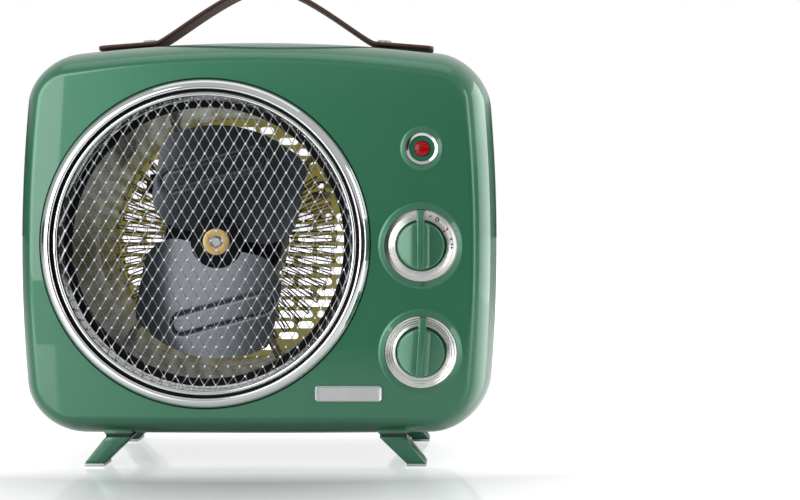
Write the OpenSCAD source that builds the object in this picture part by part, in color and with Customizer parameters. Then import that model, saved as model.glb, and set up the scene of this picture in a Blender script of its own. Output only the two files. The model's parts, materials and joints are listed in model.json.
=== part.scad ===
// Portable fan heater with a pressed metal body, a round air ring with an expanded metal grille,
// two turning knobs, a pilot light, four splayed legs and a leather carrying strap.
// Millimetres. +X is right seen from the front, the front faces -Y, +Z is up, the floor is z = 0.
// Depths are measured backwards from the flat front face of the body.

/* [Body] */
// Depth of the body from front face to back face
body_d = 135; // [130:1:150]
// Height of the body's lowest point over the floor
ground = 13.5; // [12:0.5:20]
// Distance that the flat front and back faces lie inside the widest outline
edge_in = 16; // [12:0.5:17]
// Swell of each side at mid height
side_bulge = 5.8; // [3:0.2:7]
// Rise of the top at mid width
top_crown = 9.5; // [5:0.5:11]
// Drop of the bottom at mid width
bottom_crown = 1; // [0:0.5:2]
// Corner radius at the top
corner_top = 27; // [22:1:34]
// Corner radius at the bottom
corner_bottom = 32; // [24:1:36]
// Thickness of the pressed shells
wall = 1.5; // [1.2:0.1:2]
// Depth of the rear shell behind the seam
rear_d = 47; // [40:1:51]
// Depth of the rear shell's inner lip in front of the seam
seam_lip = 7; // [5:0.5:8]
// Gap between the shells where one slides into the other
seam_gap = 0.3; // [0.2:0.05:0.5]

/* [Air ring] */
// Flat face left of the bezel
ring_margin = 4; // [2:0.5:8]
// Least half height of flat face beyond the bezel
face_margin = 1.5; // [1:0.5:8]
// Height of the ring's centre over the middle of the body
ring_rise = 2; // [-1:0.5:3]
// Width of the chrome bezel's section
bezel_w = 5.6; // [4.5:0.1:6.5]
// Distance that the bezel's crest stands in front of the face
bezel_proud = 3.5; // [2.5:0.1:4.5]
// Width of the black groove between bezel and lip
groove_w = 1.3; // [1:0.1:2.4]
// Outer radius of the inner chrome lip
lip_r = 81.6; // [80.8:0.1:82.2]
// Thickness of the lip
lip_t = 2.2; // [1.8:0.1:2.6]
// Distance that the lip stands in front of the face
lip_proud = 2.4; // [1.5:0.1:4]
// Depth of the collar plate behind the lip
collar_at = 10; // [9:0.5:13]
// Radius of the air way
duct_r = 74; // [73:0.1:75.5]
// Thickness of the duct and the collar plate
duct_t = 1.2; // [0.8:0.1:1.5]
// Distance from the lip's outside out to the studs that hold the collar
stud_step = 8.9; // [8.4:0.1:9.9]

/* [Grille] */
// Depth of the front of the mesh
mesh_at = 5; // [4.2:0.2:6]
// Thickness of the expanded metal
mesh_t = 0.8; // [0.6:0.1:1.2]
// Width of one mesh opening from node to node
mesh_pitch_x = 6.3; // [5.9:0.2:9]
// Height of one mesh opening from node to node
mesh_pitch_z = 10.5; // [9.7:0.2:14]
// Width of a strand
strand_w = 0.75; // [0.6:0.05:1.2]

/* [Rear grille] */
// Distance from the air way out to the edge of the round opening in the back
intake_step = 9; // [8:0.5:10]
// Distance from the slotted plate to the back face
plate_inset = 12.5; // [11:0.5:16]
// Thickness of the slotted plate
plate_t = 1.2; // [1:0.1:2]
// Distance from the round opening's edge in to the field of slots
slot_margin = 10.5; // [10:0.5:15]
// Width of the bar between one row of slots and the next
row_bar = 2.4; // [1.8:0.1:4]
// Width of the bar between one slot and the next along a row
slot_bar = 2.6; // [2:0.1:6]
// Height of a slot
slot_h = 4.3; // [3:0.1:5]
// Length of a slot
slot_l = 21; // [16:0.5:22]

/* [Controls] */
// Flat face between the bezel and a knob's dish
knob_gap = 4; // [2:0.5:10]
// Flat face right of a knob's dish
knob_margin = 2.8; // [2:0.1:6]
// Height of the ring's centre over the upper knob, the selector
selector_drop = 1.1; // [-4:0.1:4]
// Distance from the upper knob down to the lower knob, the thermostat
knob_pitch = 57.3; // [52:0.1:60]
// Width of the pressed slope round a dial ring
dish_edge = 4; // [2.5:0.1:5]
// Depth of the dish
dish_d = 2.4; // [1.8:0.1:3]
// Width of the chrome dial ring
dial_w = 5.9; // [5:0.1:7]
// Gap between a knob's core and its dial ring
dial_gap = 0.85; // [0.6:0.05:1.4]
// Radius of the knob's round core
core_r = 12.75; // [12:0.05:13]
// Distance from the front face to the front of the core
core_proud = 8; // [6:0.5:10]
// Distance from the front face to the front of the fin
fin_proud = 13; // [12:0.5:16]
// Width of the fin at its front
fin_w = 3; // [2:0.2:3.6]
// Distance from the pointer's end in front of the dial ring to the ring's edge
pointer_gap = 0.2; // [0:0.1:3]
// Turn of the thermostat knob as it stands, clockwise from upright
thermostat_turn = 4; // [0:1:30]
// Radius of the switch and thermostat shafts
shaft_r = 3; // [2.5:0.1:3.2]
// Running clearance round a shaft
run_gap = 0.05; // [0.02:0.01:0.1]

/* [Pilot light and badge] */
// Sideways distance of the pilot light from the knobs
pilot_shift = 0.5; // [-2:0.1:2]
// Height of the pilot light over the upper knob
pilot_rise = 52.3; // [46:0.1:56]
// Radius of the pilot light's dish
pilot_dish_r = 10.8; // [10.2:0.1:12]
// Outer radius of the pilot light's chrome ring
pilot_ring_r = 9; // [8:0.1:9.5]
// Inner radius of the pilot light's chrome ring
pilot_bore_r = 6.9; // [6.4:0.1:7.2]
// Radius of the red lens
lens_r = 4.1; // [3.5:0.1:5]
// Distance of the badge plate's centre inside the bezel's right edge
badge_in = 11.5; // [8:0.5:14]
// Height of the badge plate's centre over the body's lowest point
badge_rise = 28.5; // [26:0.5:31]
// Width of the badge plate
badge_w = 35.9; // [30:0.5:38]
// Height of the badge plate
badge_h = 8.4; // [7:0.2:9]

/* [Legs] */
// Sideways place of a leg's top from the middle
leg_top_x = 75.1; // [70:0.5:80]
// Outward splay of a leg from top to floor
leg_splay = 13.3; // [6:0.5:16]
// Width of a leg at the top
leg_top_w = 14.2; // [12:0.2:18]
// Width of a leg at the floor
leg_foot_w = 11.2; // [10:0.2:14]
// Length of a leg from front to back
leg_d = 20; // [16:1:22]
// Depth of the front legs' front face
leg_at = 14; // [13:0.5:18]
// Height of the dark pad between leg and body
pad_h = 1.8; // [1.2:0.1:2.4]
// Height of the body's seat for the pad over its lowest point
seat_rise = 4.5; // [4:0.1:6]
// Thickness of the sole under a leg
sole_h = 1.6; // [1:0.1:2.4]

/* [Strap] */
// Sideways place of a strap stud
stud_x = 68; // [62:1:76]
// Rise of the strap's crown over its studs
strap_rise = 33.8; // [28:0.5:45]
// Width of the strap from front to back
strap_w = 22; // [16:1:30]
// Thickness of the leather
strap_t = 2.2; // [1.8:0.1:3]
// Free length of the strap beyond a stud
strap_tail = 29; // [15:1:34]
// Height of the spacer that lifts the strap off the body
strap_lift = 1.6; // [1:0.1:3]
// Radius of a stud's post
stud_r = 2; // [1.5:0.1:2.4]
// Radius of a stud's head
stud_head_r = 4.3; // [4:0.1:6]

/* [Fan and motor] */
// Gap between the tips of the fan and the air way
fan_tip_gap = 8; // [5:0.5:14]
// Distance from the middle of the fan to the motor
fan_gap = 14; // [13:0.5:18]
// Half width of a paddle
paddle_half_w = 41; // [34:0.5:44]
// Corner radius of a paddle
paddle_corner = 22; // [14:0.5:26]
// Pitch of a paddle
paddle_pitch = 10; // [6:0.5:12]
// Thickness of the fan's sheet
fan_t = 1.2; // [0.8:0.1:2]
// Direction of the upper paddle from the horizontal
fan_angle = 79; // [60:1:100]
// Radius of the motor
motor_r = 33; // [31:0.1:33.5]
// Length of the standoffs between motor and slotted plate
standoff_l = 32.5; // [30:0.5:36]
// Depth of the laminated stack
stack_h = 22; // [16:1:22]
// Radius of the rotor
rotor_r = 15.2; // [13:0.1:15.6]
// Air gap between rotor and stack
air_gap = 0.35; // [0.3:0.05:0.5]
// Radius of the motor's standoff circle
standoff_circle = 22; // [20:0.5:24]

/* [Heating element] */
// Gap between the motor and the heater wire's folds
fold_gap = 4; // [3.7:0.1:7]
// Gap between the heater wire's folds and the air way
element_gap = 10; // [8:0.5:16]
// Number of folds in one heater wire
folds = 44; // [24:1:48]
// Width of the heater ribbon
ribbon_w = 0.8; // [0.6:0.1:1]
// Thickness of the heater ribbon
ribbon_t = 0.6; // [0.4:0.1:0.8]
// Thickness of the mica vanes
vane_t = 1; // [0.8:0.1:1.6]
// Distance from the motor's front to the front heater wire
wire_in = 14; // [12:0.5:18]
// Distance from the front heater wire to the rear one
wire_step = 14; // [10:0.5:16]

/* [Power inlet] */
// Width of the terminal box
box_w = 34; // [30:0.5:35]
// Height of the terminal box
box_h = 29.5; // [26:0.5:30]
// Distance that the cable gland stands out behind the back face
gland_proud = 10; // [6:0.5:16]
// Radius of the hole for the power cord
cord_r = 3.3; // [2.8:0.1:3.6]
// Radius of the gland's barrel
gland_r = 6; // [5:0.1:7]

/* [Hidden] */

$fn = 96;

// Colours
enamel = [0.21, 0.43, 0.33];
chrome = [0.82, 0.83, 0.82];
black = [0.08, 0.08, 0.09];
zinc_gold = [0.55, 0.49, 0.22];
galvanised = [0.62, 0.65, 0.64];
steel = [0.55, 0.56, 0.58];
brass = [0.72, 0.58, 0.28];
leather = [0.45, 0.26, 0.13];
mica = [0.62, 0.56, 0.46];

// Small joints and cuts
eps = 0.01;
over = 1;
fit_gap = 0.3;
fastener_gap = 0.2;
touch = 0.1;

// Places that follow from the driving sizes
lip_in_r = lip_r - lip_t;
aperture_r = lip_r + fit_gap;
bezel_in_r = aperture_r + groove_w;
bezel_r = bezel_in_r + bezel_w;
dial_bore_r = core_r + dial_gap;
dial_r = dial_bore_r + dial_w;
dish_r = dial_r + dish_edge;
face_w = ring_margin + 2 * bezel_r + knob_gap + 2 * dish_r + knob_margin;
body_w = face_w + 2 * edge_in;
mid_d = body_d / 2;
seam_at = body_d - rear_d;
base_a = body_w / 2 - side_bulge;
base_b = bezel_r + face_margin + edge_in;
mid_z = ground + bottom_crown + base_b;
ring_x = ring_margin + bezel_r - face_w / 2;
ring_z = mid_z + ring_rise;
knob_x = face_w / 2 - knob_margin - dish_r;
selector_z = ring_z - selector_drop;
thermostat_z = selector_z - knob_pitch;
pilot_x = knob_x + pilot_shift;
pilot_z = selector_z + pilot_rise;
badge_x = ring_x + bezel_r - badge_in;
badge_z = ground + badge_rise;
plate_at = body_d - plate_inset;
front_y = -(body_d + gland_proud - fin_proud) / 2;
corner_steps = 8;
top_steps = 12;
side_steps = 10;
skin_steps = 12;

// Air ring and duct
lip_seat_w = 7.6;
collar_w = 12;
collar_stud_circle = max(lip_r, duct_r + lip_seat_w) + stud_step;
gasket_h = 0.5;
gasket_gap = 0.02;
lip_flange_w = 3.4;
lip_flange_t = 1.4;
ledge_w = 1.8;
collar_r = max(lip_r + lip_flange_w + 1, duct_r + collar_w);
collar_bore_r = min(duct_r, lip_r - lip_seat_w);
ear_r = 6;
stud_shoulder_r = 4;
collar_stud_r = 2;
collar_nut_r = 4;
collar_nut_h = 3.2;
duct_flange_w = 6;

// Back
intake_r = duct_r + intake_step;
slot_field_r = intake_r - slot_margin;
slot_pitch_z = slot_h + row_bar;
slot_pitch_x = slot_l + slot_bar;
rim_seat_w = 6.5;
rim_seat_at = plate_at - wall;
plate_r = intake_r - 0.4;
rear_screw_circle = plate_r - 3;
rear_screws = 6;
screw_r = 1.5;
screw_head_r = 2.9;
screw_head_h = 1.8;
post_pad_r = 6;

// Controls
bush_r = 4.9;
nut_r = 8;
nut_h = dish_d;
knob_skirt_at = dish_d - 1.2;
knob_ceiling_at = -1;
knob_cavity_r = core_r - 2.6;
core_round = 1.2;
fin_reach = dial_r - pointer_gap;
blade_root_w = fin_w + 1;
flare_w = fin_w + 5.4;
shaft_front = core_proud - 1.5;
shaft_back_at = 24;
pilot_dish_d = 2;

// Legs
leg_top_z = ground + seat_rise - pad_h;
boss_h = 5;
boss_side = 0.4;
leg_screw_x = leg_top_x + 3;
leg_screw_r = 1.8;
leg_screw_len = 9;

// Strap
stud_slope = atan(2 * top_crown * stud_x / pow(base_a, 2));
stud_base_z = mid_z + base_b + top_crown * (1 - pow(stud_x / base_a, 2));
strap_z = stud_base_z + (strap_lift + strap_t / 2) / cos(stud_slope);
crown_pull = 20;
stud_pull = 6;
strap_steps = 14;
stud_head_h = 1.9;
stud_hole_gap = 0.3;
spacer_wall = 1.2;
strap_nut_r = 4;
strap_nut_h = 3;
post_end = 8;

// Fan and motor
cover_t = 2;
cover_rim = 4;
motor_at = plate_at - standoff_l - 2 * (cover_t + cover_rim) - stack_h;
fan_at = motor_at - fan_gap;
fan_r = duct_r - fan_tip_gap;
hub_boss_r = 15;
hub_boss_h = 8;
hub_r = 8;
hub_h = 12;
camber_r = 200;
rib_l = 60;
rib_w = 11;
rib_tip_gap = 26.5;
rib_out = fan_r - rib_tip_gap;
rib_side = 10;
rib_turn = 116;
rib_rise = 0.9;
cover_rim_w = 2.4;
bearing_r = 7;
bearing_h = 7;
boss_wall = 2;
stack_at = motor_at + cover_t + cover_rim;
stack_end = stack_at + stack_h;
rear_cover_at = stack_end + cover_rim;
stator_ring_w = 9;
pole_w = 9;
pole_bore_r = rotor_r + air_gap;
coil_w = 15;
coil_out_r = motor_r - stator_ring_w - 1.2;
coil_in_r = pole_bore_r + 2;
coil_over = cover_rim - 0.8;
bolt_circle = motor_r - 4.5;
bolt_r = 1.5;
motor_shaft_r = 3;
shaft_front_at = fan_at - 8;
shaft_end_at = rear_cover_at + cover_t + 7;
standoff_r = 3.6;
standoff_screw_r = 1.6;
standoff_thread = 8;

// Heating element
hoop_t = 1.2;
hoop_in_r = motor_r + 1;
fold_in_r = motor_r + fold_gap;
fold_out_r = duct_r - element_gap;
low_wire_at = motor_at + wire_in;
high_wire_at = low_wire_at + wire_step;
vane_front = low_wire_at - 6;
vane_back = high_wire_at + 6;
vane_angles = [44, 114, -66, -136];
tip_w = 1.4;
wire_span = 344;
wire_start = 98;

// Terminal box, its outer corner close to the edge of the round opening
box_corner = (intake_r - 1.7) * [cos(34.47), sin(34.47)];
box_wall = 1;
box_d = 9.3;
box_ear_r = 4;
box_ear_out = 2.8;
box_screw_r = 1.2;
box_x = ring_x + box_corner[0] - box_w / 2;
box_z = ring_z + box_corner[1] - box_h / 2;
box_back = plate_at + plate_t + box_d;
box_ear_z = box_h / 2 + box_ear_out;
gland_flange_r = 8;
gland_flange_h = 2.5;
gland_thread_r = 4.6;
gland_nut_r = 7.4;
gland_nut_h = 2;
block_w = 13;
block_h = 18;
block_d = 4.5;
block_pitch = 5.6;

// Points along one straight or round stretch of a rounded rectangle
function stretch(from, to, steps) = [for (k = [0 : steps - 1]) from + (to - from) * k / steps];
function corner(c, r, a0) = [
    for (k = [0 : corner_steps - 1]) let (a = a0 + 90 * k / corner_steps) c + r * [cos(a), sin(a)]
];
// Rounded rectangle of half sizes a and b, run counter-clockwise from the lower right side
function round_rect(a, b, rt, rb) = concat(
    stretch([a, rb - b], [a, b - rt], side_steps),
    corner([a - rt, b - rt], rt, 0),
    stretch([a - rt, b], [rt - a, b], top_steps),
    corner([rt - a, b - rt], rt, 90),
    stretch([-a, b - rt], [-a, rb - b], side_steps),
    corner([rb - a, rb - b], rb, 180),
    stretch([rb - a, -b], [a - rb, -b], top_steps),
    corner([a - rb, rb - b], rb, 270)
);
// The sides and the top swell out as shallow parabolas
function crown(v) = v > 0 ? top_crown : bottom_crown;
function swell(p, a, b) = [
    p[0] * (1 + side_bulge / a * (1 - pow(p[1] / b, 2))),
    p[1] * (1 + crown(p[1]) / b * (1 - pow(p[0] / a, 2)))
];
// Body outline drawn in by i and set at depth u
function ring(i, u) = let (a = base_a - i, b = base_b - i) [
    for (p = round_rect(a, b, max(corner_top - i, 2), max(corner_bottom - i, 2)))
        let (q = swell(p, a, b)) [q[0], front_y + u, mid_z + q[1]]
];
// Quarter ellipses carry the skin from the widest outline to the flat faces; t is a depth under the skin
function skin_in(u, t) = t + edge_in * (1 - sqrt(max(0, 1 - pow((u - mid_d) / (mid_d - t), 2))));
function skin_ring(u, t) = ring(skin_in(u, t), u);
function skin_u(phi, t) = mid_d - (mid_d - t) * cos(phi);
function seam_phi(t) = acos((mid_d - seam_at) / (mid_d - t));
// Rings of the skin at depth t under it from angle p0 to p1 round the quarter ellipses
function skin(p0, p1, t, steps) = [
    for (k = [0 : steps]) skin_ring(skin_u(p0 + (p1 - p0) * k / steps, t), t)
];

// Solid through a list of rings of equal length, closed by a cap at each end
module loft(rings) {
    n = len(rings[0]);
    m = len(rings);
    sides = [
        for (i = [0 : m - 2], j = [0 : n - 1]) let (a = i * n + j, b = i * n + (j + 1) % n)
            each [[a, b, b + n], [a, b + n, a + n]]
    ];
    first_cap = [for (j = [n - 1 : -1 : 0]) j];
    last_cap = [for (j = [0 : n - 1]) (m - 1) * n + j];
    polyhedron([for (r = rings) each r], concat(sides, [first_cap, last_cap]));
}

// Flat drawing in X and Z made solid between two depths
module slab(u0, u1) {
    translate([0, front_y + u1, 0])
        rotate([90, 0, 0])
            linear_extrude(u1 - u0)
                children();
}

// Round rod along the depth
module rod(x, z, u0, u1, r) {
    slab(u0, u1)
        translate([x, z])
            circle(r);
}

// Tube along the depth
module tube(x, z, u0, u1, r_out, r_in) {
    slab(u0, u1)
        translate([x, z])
            difference() {
                circle(r_out);
                circle(r_in);
            }
}

// Profile of radius and depth turned round an axis along the depth
module turned(x, z) {
    translate([x, front_y, z])
        rotate([-90, 0, 0])
            rotate_extrude()
                children();
}

// Children moved to points on a circle in the front view
module around(x, z, r, angles) {
    for (a = angles)
        translate([x + r * cos(a), 0, z + r * sin(a)])
            children();
}

function steps_round(n, a0) = [for (k = [0 : n - 1]) a0 + 360 * k / n];

// Pressed dish: the face runs down to the floor on a half wave
function dish_wave(r, depth, slope_w) = [
    for (k = [0 : 6]) [r - slope_w * k / 6, depth * (1 - cos(180 * k / 6)) / 2]
];
module dish_void(x, z, r, depth, slope_w) {
    turned(x, z)
        polygon(concat([[0, -over], [r, -over]], dish_wave(r, depth, slope_w), [[0, depth]]));
}
module dish_cup(x, z, r, depth, slope_w) {
    difference() {
        rod(x, z, 0, depth + wall, r + wall);
        dish_void(x, z, r, depth, slope_w);
    }
}
dish_slope = dish_r - dial_r - 0.3;
pilot_slope = pilot_dish_r - pilot_ring_r - 0.2;

module knob_dish_cup(z) {
    dish_cup(knob_x, z, dish_r, dish_d, dish_slope);
}

// Block between a leg's pad and the inside of the shell
module leg_boss(side, u0) {
    w = leg_top_w + 2 * boss_side;
    translate([side * leg_top_x - w / 2, front_y + u0, leg_top_z + pad_h])
        cube([w, leg_d, boss_h]);
}

// Depth of the near face of the rear legs
rear_leg_at = body_d - leg_at - leg_d;

module leg_screw_hole(side, u0) {
    translate([side * leg_screw_x, front_y + u0 + leg_d / 2, leg_top_z - over])
        cylinder(r = leg_screw_r + fastener_gap, h = boss_h + pad_h + 6);
}

// Holes for the screws along the seam, cut through whatever is given
seam_screw_u = seam_at - seam_lip / 2;
seam_screw_heights = [-52, 52];
seam_screw_feet = 48;
seam_head_r = 2.8;
seam_head_h = 1.3;
seam_screw_len = 7;
module seam_screw_shape(gap, rise) {
    rotate([0, 90, 0])
        rotate_extrude()
            polygon([
                [0, rise], [seam_head_r + gap, rise], [seam_head_r + gap, 0],
                [screw_r + gap, -seam_head_h], [screw_r + gap, -seam_screw_len], [0, -seam_screw_len]
            ]);
}
function side_x(dz) = base_a - skin_in(seam_screw_u, 0)
    + side_bulge * (1 - pow(dz / (base_b - skin_in(seam_screw_u, 0)), 2));
function foot_z(x) = mid_z - (base_b - skin_in(seam_screw_u, 0))
    - bottom_crown * (1 - pow(x / (base_a - skin_in(seam_screw_u, 0)), 2));
// Lean of the skin there, from front to back and up the sides
skin_lean = atan(skin_in(seam_screw_u + 0.5, 0) - skin_in(seam_screw_u - 0.5, 0));
function side_lean(dz) = atan(2 * side_bulge * dz / pow(base_b, 2));
module at_seam_screws() {
    for (side = [-1, 1], dz = seam_screw_heights)
        translate([side * side_x(dz), front_y + seam_screw_u, mid_z + dz])
            mirror([side < 0 ? 1 : 0, 0, 0])
                rotate([0, -side_lean(dz), skin_lean])
                    children();
    for (side = [-1, 1])
        translate([side * seam_screw_feet, front_y + seam_screw_u, foot_z(seam_screw_feet)])
            rotate([-skin_lean, 90, 0])
                children();
}

// Frame of a strap stud: origin on the body's top, local Z square to it
module at_stud(side) {
    translate([side * stud_x, front_y + mid_d, stud_base_z])
        rotate([0, side * stud_slope, 0])
            children();
}

module front_shell() {
    color(enamel)
        difference() {
            union() {
                difference() {
                    loft(concat(
                        skin(0, seam_phi(0), 0, skin_steps),
                        skin(seam_phi(wall), 0, wall, skin_steps)
                    ));
                    rod(ring_x, ring_z, -over, wall + over, aperture_r);
                    for (z = [selector_z, thermostat_z])
                        rod(knob_x, z, -over, wall + over, dish_r + wall / 2);
                    rod(pilot_x, pilot_z, -over, wall + over, pilot_dish_r + wall / 2);
                }
                for (z = [selector_z, thermostat_z])
                    knob_dish_cup(z);
                dish_cup(pilot_x, pilot_z, pilot_dish_r, pilot_dish_d, pilot_slope);
                around(ring_x, ring_z, collar_stud_circle, steps_round(4, 45)) {
                    rod(0, 0, wall - eps, collar_at, stud_shoulder_r);
                    rod(0, 0, wall, collar_at + duct_t + collar_nut_h + 1, collar_stud_r);
                }
                for (side = [-1, 1])
                    leg_boss(side, leg_at);
            }
            for (z = [selector_z, thermostat_z])
                rod(knob_x, z, 0, dish_d + wall + over, bush_r + fit_gap);
            rod(pilot_x, pilot_z, 0, pilot_dish_d + wall + over, lens_r + fastener_gap);
            for (side = [-1, 1]) {
                at_stud(side)
                    translate([0, 0, -wall - 3])
                        cylinder(r = stud_r + stud_hole_gap, h = wall + 6);
                leg_screw_hole(side, leg_at);
            }
            at_seam_screws()
                seam_screw_shape(fastener_gap, 1);
        }
}

module rear_shell() {
    tuck = wall + seam_gap;
    lip_front = seam_at - seam_lip;
    inner_phi = acos((mid_d - seam_at - 4) / (mid_d - wall));
    color(enamel)
        difference() {
            union() {
                difference() {
                    loft(concat(
                        skin(180, inner_phi, wall, 7),
                        [
                            skin_ring(seam_at - 1, tuck + wall),
                            skin_ring(lip_front, tuck + wall),
                            skin_ring(lip_front, tuck),
                            skin_ring(seam_at, tuck)
                        ],
                        skin(seam_phi(0), 180, 0, 8)
                    ));
                    rod(ring_x, ring_z, body_d - wall - over, body_d + over, intake_r);
                }
                tube(ring_x, ring_z, rim_seat_at, body_d - wall / 2, intake_r + wall, intake_r);
                tube(ring_x, ring_z, rim_seat_at, plate_at, intake_r + wall, intake_r - rim_seat_w);
                for (side = [-1, 1])
                    leg_boss(side, rear_leg_at);
            }
            around(ring_x, ring_z, rear_screw_circle, steps_round(rear_screws, 0))
                rod(0, 0, rim_seat_at - over, plate_at + over, screw_r + fastener_gap);
            for (side = [-1, 1])
                leg_screw_hole(side, rear_leg_at);
            at_seam_screws()
                seam_screw_shape(fastener_gap, 1);
        }
}

module seam_screws() {
    color(chrome)
        at_seam_screws()
            seam_screw_shape(0, 0);
}

// Section of the bezel as shares of its width and height: steep inside, a long flank outside
bezel_section = [
    [0, 0], [0, 0.76], [0.04, 0.9], [0.12, 0.98], [0.2, 1], [0.28, 0.98], [0.45, 0.89], [0.65, 0.7],
    [0.82, 0.47], [0.94, 0.24], [1, 0]
];
module bezel_ring() {
    color(chrome)
        turned(ring_x, ring_z)
            polygon([for (q = bezel_section) [bezel_in_r + q[0] * bezel_w, -q[1] * bezel_proud]]);
}

module groove_gasket() {
    color(black)
        tube(ring_x, ring_z, -gasket_h, 0, bezel_in_r - gasket_gap, aperture_r);
}

module lip_ring() {
    nose = lip_t / 2;
    color(chrome)
        turned(ring_x, ring_z)
            union() {
                translate([lip_in_r + nose, nose - lip_proud])
                    circle(nose);
                translate([lip_in_r, nose - lip_proud])
                    square([lip_t, collar_at + lip_proud - nose]);
                translate([lip_in_r, wall + touch])
                    square([lip_t + lip_flange_w, lip_flange_t]);
                translate([lip_in_r - ledge_w, mesh_at + mesh_t])
                    square([ledge_w + lip_t, collar_at - mesh_at - mesh_t]);
            }
}

mesh_r = lip_in_r - fastener_gap;
mesh_band = 1;
mesh_rim_w = 2;
half_x = mesh_pitch_x / 2;
half_z = mesh_pitch_z / 2;
// Half sizes of an opening that leave every strand strand_w wide
strand_slope = sqrt(pow(half_x, 2) + pow(half_z, 2));
hole_x = half_x - strand_w * strand_slope / (2 * half_z);
hole_z = half_z - strand_w * strand_slope / (2 * half_x);
mesh_cols = ceil(mesh_r / half_x);
mesh_rows = ceil(mesh_r / half_z);
function in_mesh(x, z) = norm([abs(x) + hole_x / 2, abs(z) + hole_z / 2]) < mesh_r - mesh_rim_w;

module grille_mesh() {
    color(steel) {
        slab(mesh_at, mesh_at + mesh_t)
            translate([ring_x, ring_z])
                difference() {
                    circle(mesh_r);
                    for (i = [-mesh_cols : mesh_cols], j = [-mesh_rows : mesh_rows])
                        if ((i + j) % 2 == 0 && in_mesh(i * half_x, j * half_z))
                            translate([i * half_x, j * half_z])
                                polygon([[hole_x, 0], [0, hole_z], [-hole_x, 0], [0, -hole_z]]);
                }
        tube(ring_x, ring_z, -lip_proud / 2, mesh_at + mesh_t, mesh_r, mesh_r - mesh_band);
    }
}

module duct_collar() {
    color(black)
        slab(collar_at, collar_at + duct_t)
            difference() {
                union() {
                    translate([ring_x, ring_z])
                        circle(collar_r);
                    for (a = steps_round(4, 45))
                        translate([
                            ring_x + collar_stud_circle * cos(a), ring_z + collar_stud_circle * sin(a)
                        ])
                            circle(ear_r);
                }
                translate([ring_x, ring_z])
                    circle(collar_bore_r);
                for (a = steps_round(4, 45))
                    translate([
                        ring_x + collar_stud_circle * cos(a), ring_z + collar_stud_circle * sin(a)
                    ])
                        circle(collar_stud_r + fastener_gap);
            }
}

// Hexagon nut with a plain hole
module nut_2d(r_out, r_in) {
    difference() {
        circle(r_out, $fn = 6);
        circle(r_in);
    }
}

module collar_nuts() {
    u = collar_at + duct_t;
    color(steel)
        around(ring_x, ring_z, collar_stud_circle, steps_round(4, 45))
            slab(u, u + collar_nut_h)
                nut_2d(collar_nut_r, collar_stud_r + run_gap);
}

module air_duct() {
    u0 = collar_at + duct_t;
    u1 = plate_at - fit_gap;
    color(galvanised) {
        tube(ring_x, ring_z, u0, u1, duct_r + duct_t, duct_r);
        tube(ring_x, ring_z, u0, u0 + duct_t, duct_r + duct_t + duct_flange_w, duct_r);
    }
}

slot_rows = ceil(slot_field_r / slot_pitch_z);
slot_cols = ceil(slot_field_r / slot_pitch_x);
module slot(l, h) {
    square([l - h, h], center = true);
    for (s = [-1, 1])
        translate([s * (l - h) / 2, 0])
            circle(h / 2);
}
// Half length of a row of slots at height z
function row_reach(z) = sqrt(max(0, pow(slot_field_r, 2) - pow(abs(z) + slot_h / 2, 2)));
// Slots of a brick pattern, each cut short where the round field ends
module slot_field() {
    for (j = [-slot_rows : slot_rows]) {
        z = j * slot_pitch_z;
        reach = row_reach(z);
        shift = abs(j) % 2 == 0 ? 0 : slot_pitch_x / 2;
        for (i = [-slot_cols : slot_cols]) {
            left = max(i * slot_pitch_x + shift - slot_l / 2, -reach);
            right = min(i * slot_pitch_x + shift + slot_l / 2, reach);
            if (right - left > slot_h + 0.5)
                translate([(left + right) / 2, z])
                    slot(right - left, slot_h);
        }
    }
}

module rear_grille() {
    color(zinc_gold)
        difference() {
            slab(plate_at, plate_at + plate_t)
                translate([ring_x, ring_z])
                    difference() {
                        circle(plate_r);
                        difference() {
                            slot_field();
                            for (a = steps_round(4, 0))
                                translate(standoff_circle * [cos(a), sin(a)])
                                    circle(post_pad_r);
                            for (s = [-1, 1])
                                translate([box_x - ring_x, box_z - ring_z + s * box_ear_z])
                                    circle(box_ear_r);
                        }
                    }
            around(ring_x, ring_z, rear_screw_circle, steps_round(rear_screws, 0))
                rod(0, 0, plate_at - over, plate_at + plate_t + over, screw_r + fastener_gap);
            around(ring_x, ring_z, standoff_circle, steps_round(4, 0))
                rod(0, 0, plate_at - over, plate_at + plate_t + over, standoff_screw_r + fastener_gap);
            for (s = [-1, 1])
                rod(box_x, box_z + s * box_ear_z, plate_at - over, plate_at + plate_t + over,
                    box_screw_r + fastener_gap);
        }
}

// Pan head screw seen from behind: head at depth u, shank running forwards
module rear_screw(u, len, r) {
    rod(0, 0, u - len, u + eps, r);
    rod(0, 0, u, u + screw_head_h, screw_head_r);
}

module rear_grille_screws() {
    color(chrome)
        around(ring_x, ring_z, rear_screw_circle, steps_round(rear_screws, 0))
            rear_screw(plate_at + plate_t, plate_t + wall + 3, screw_r);
}

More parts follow.
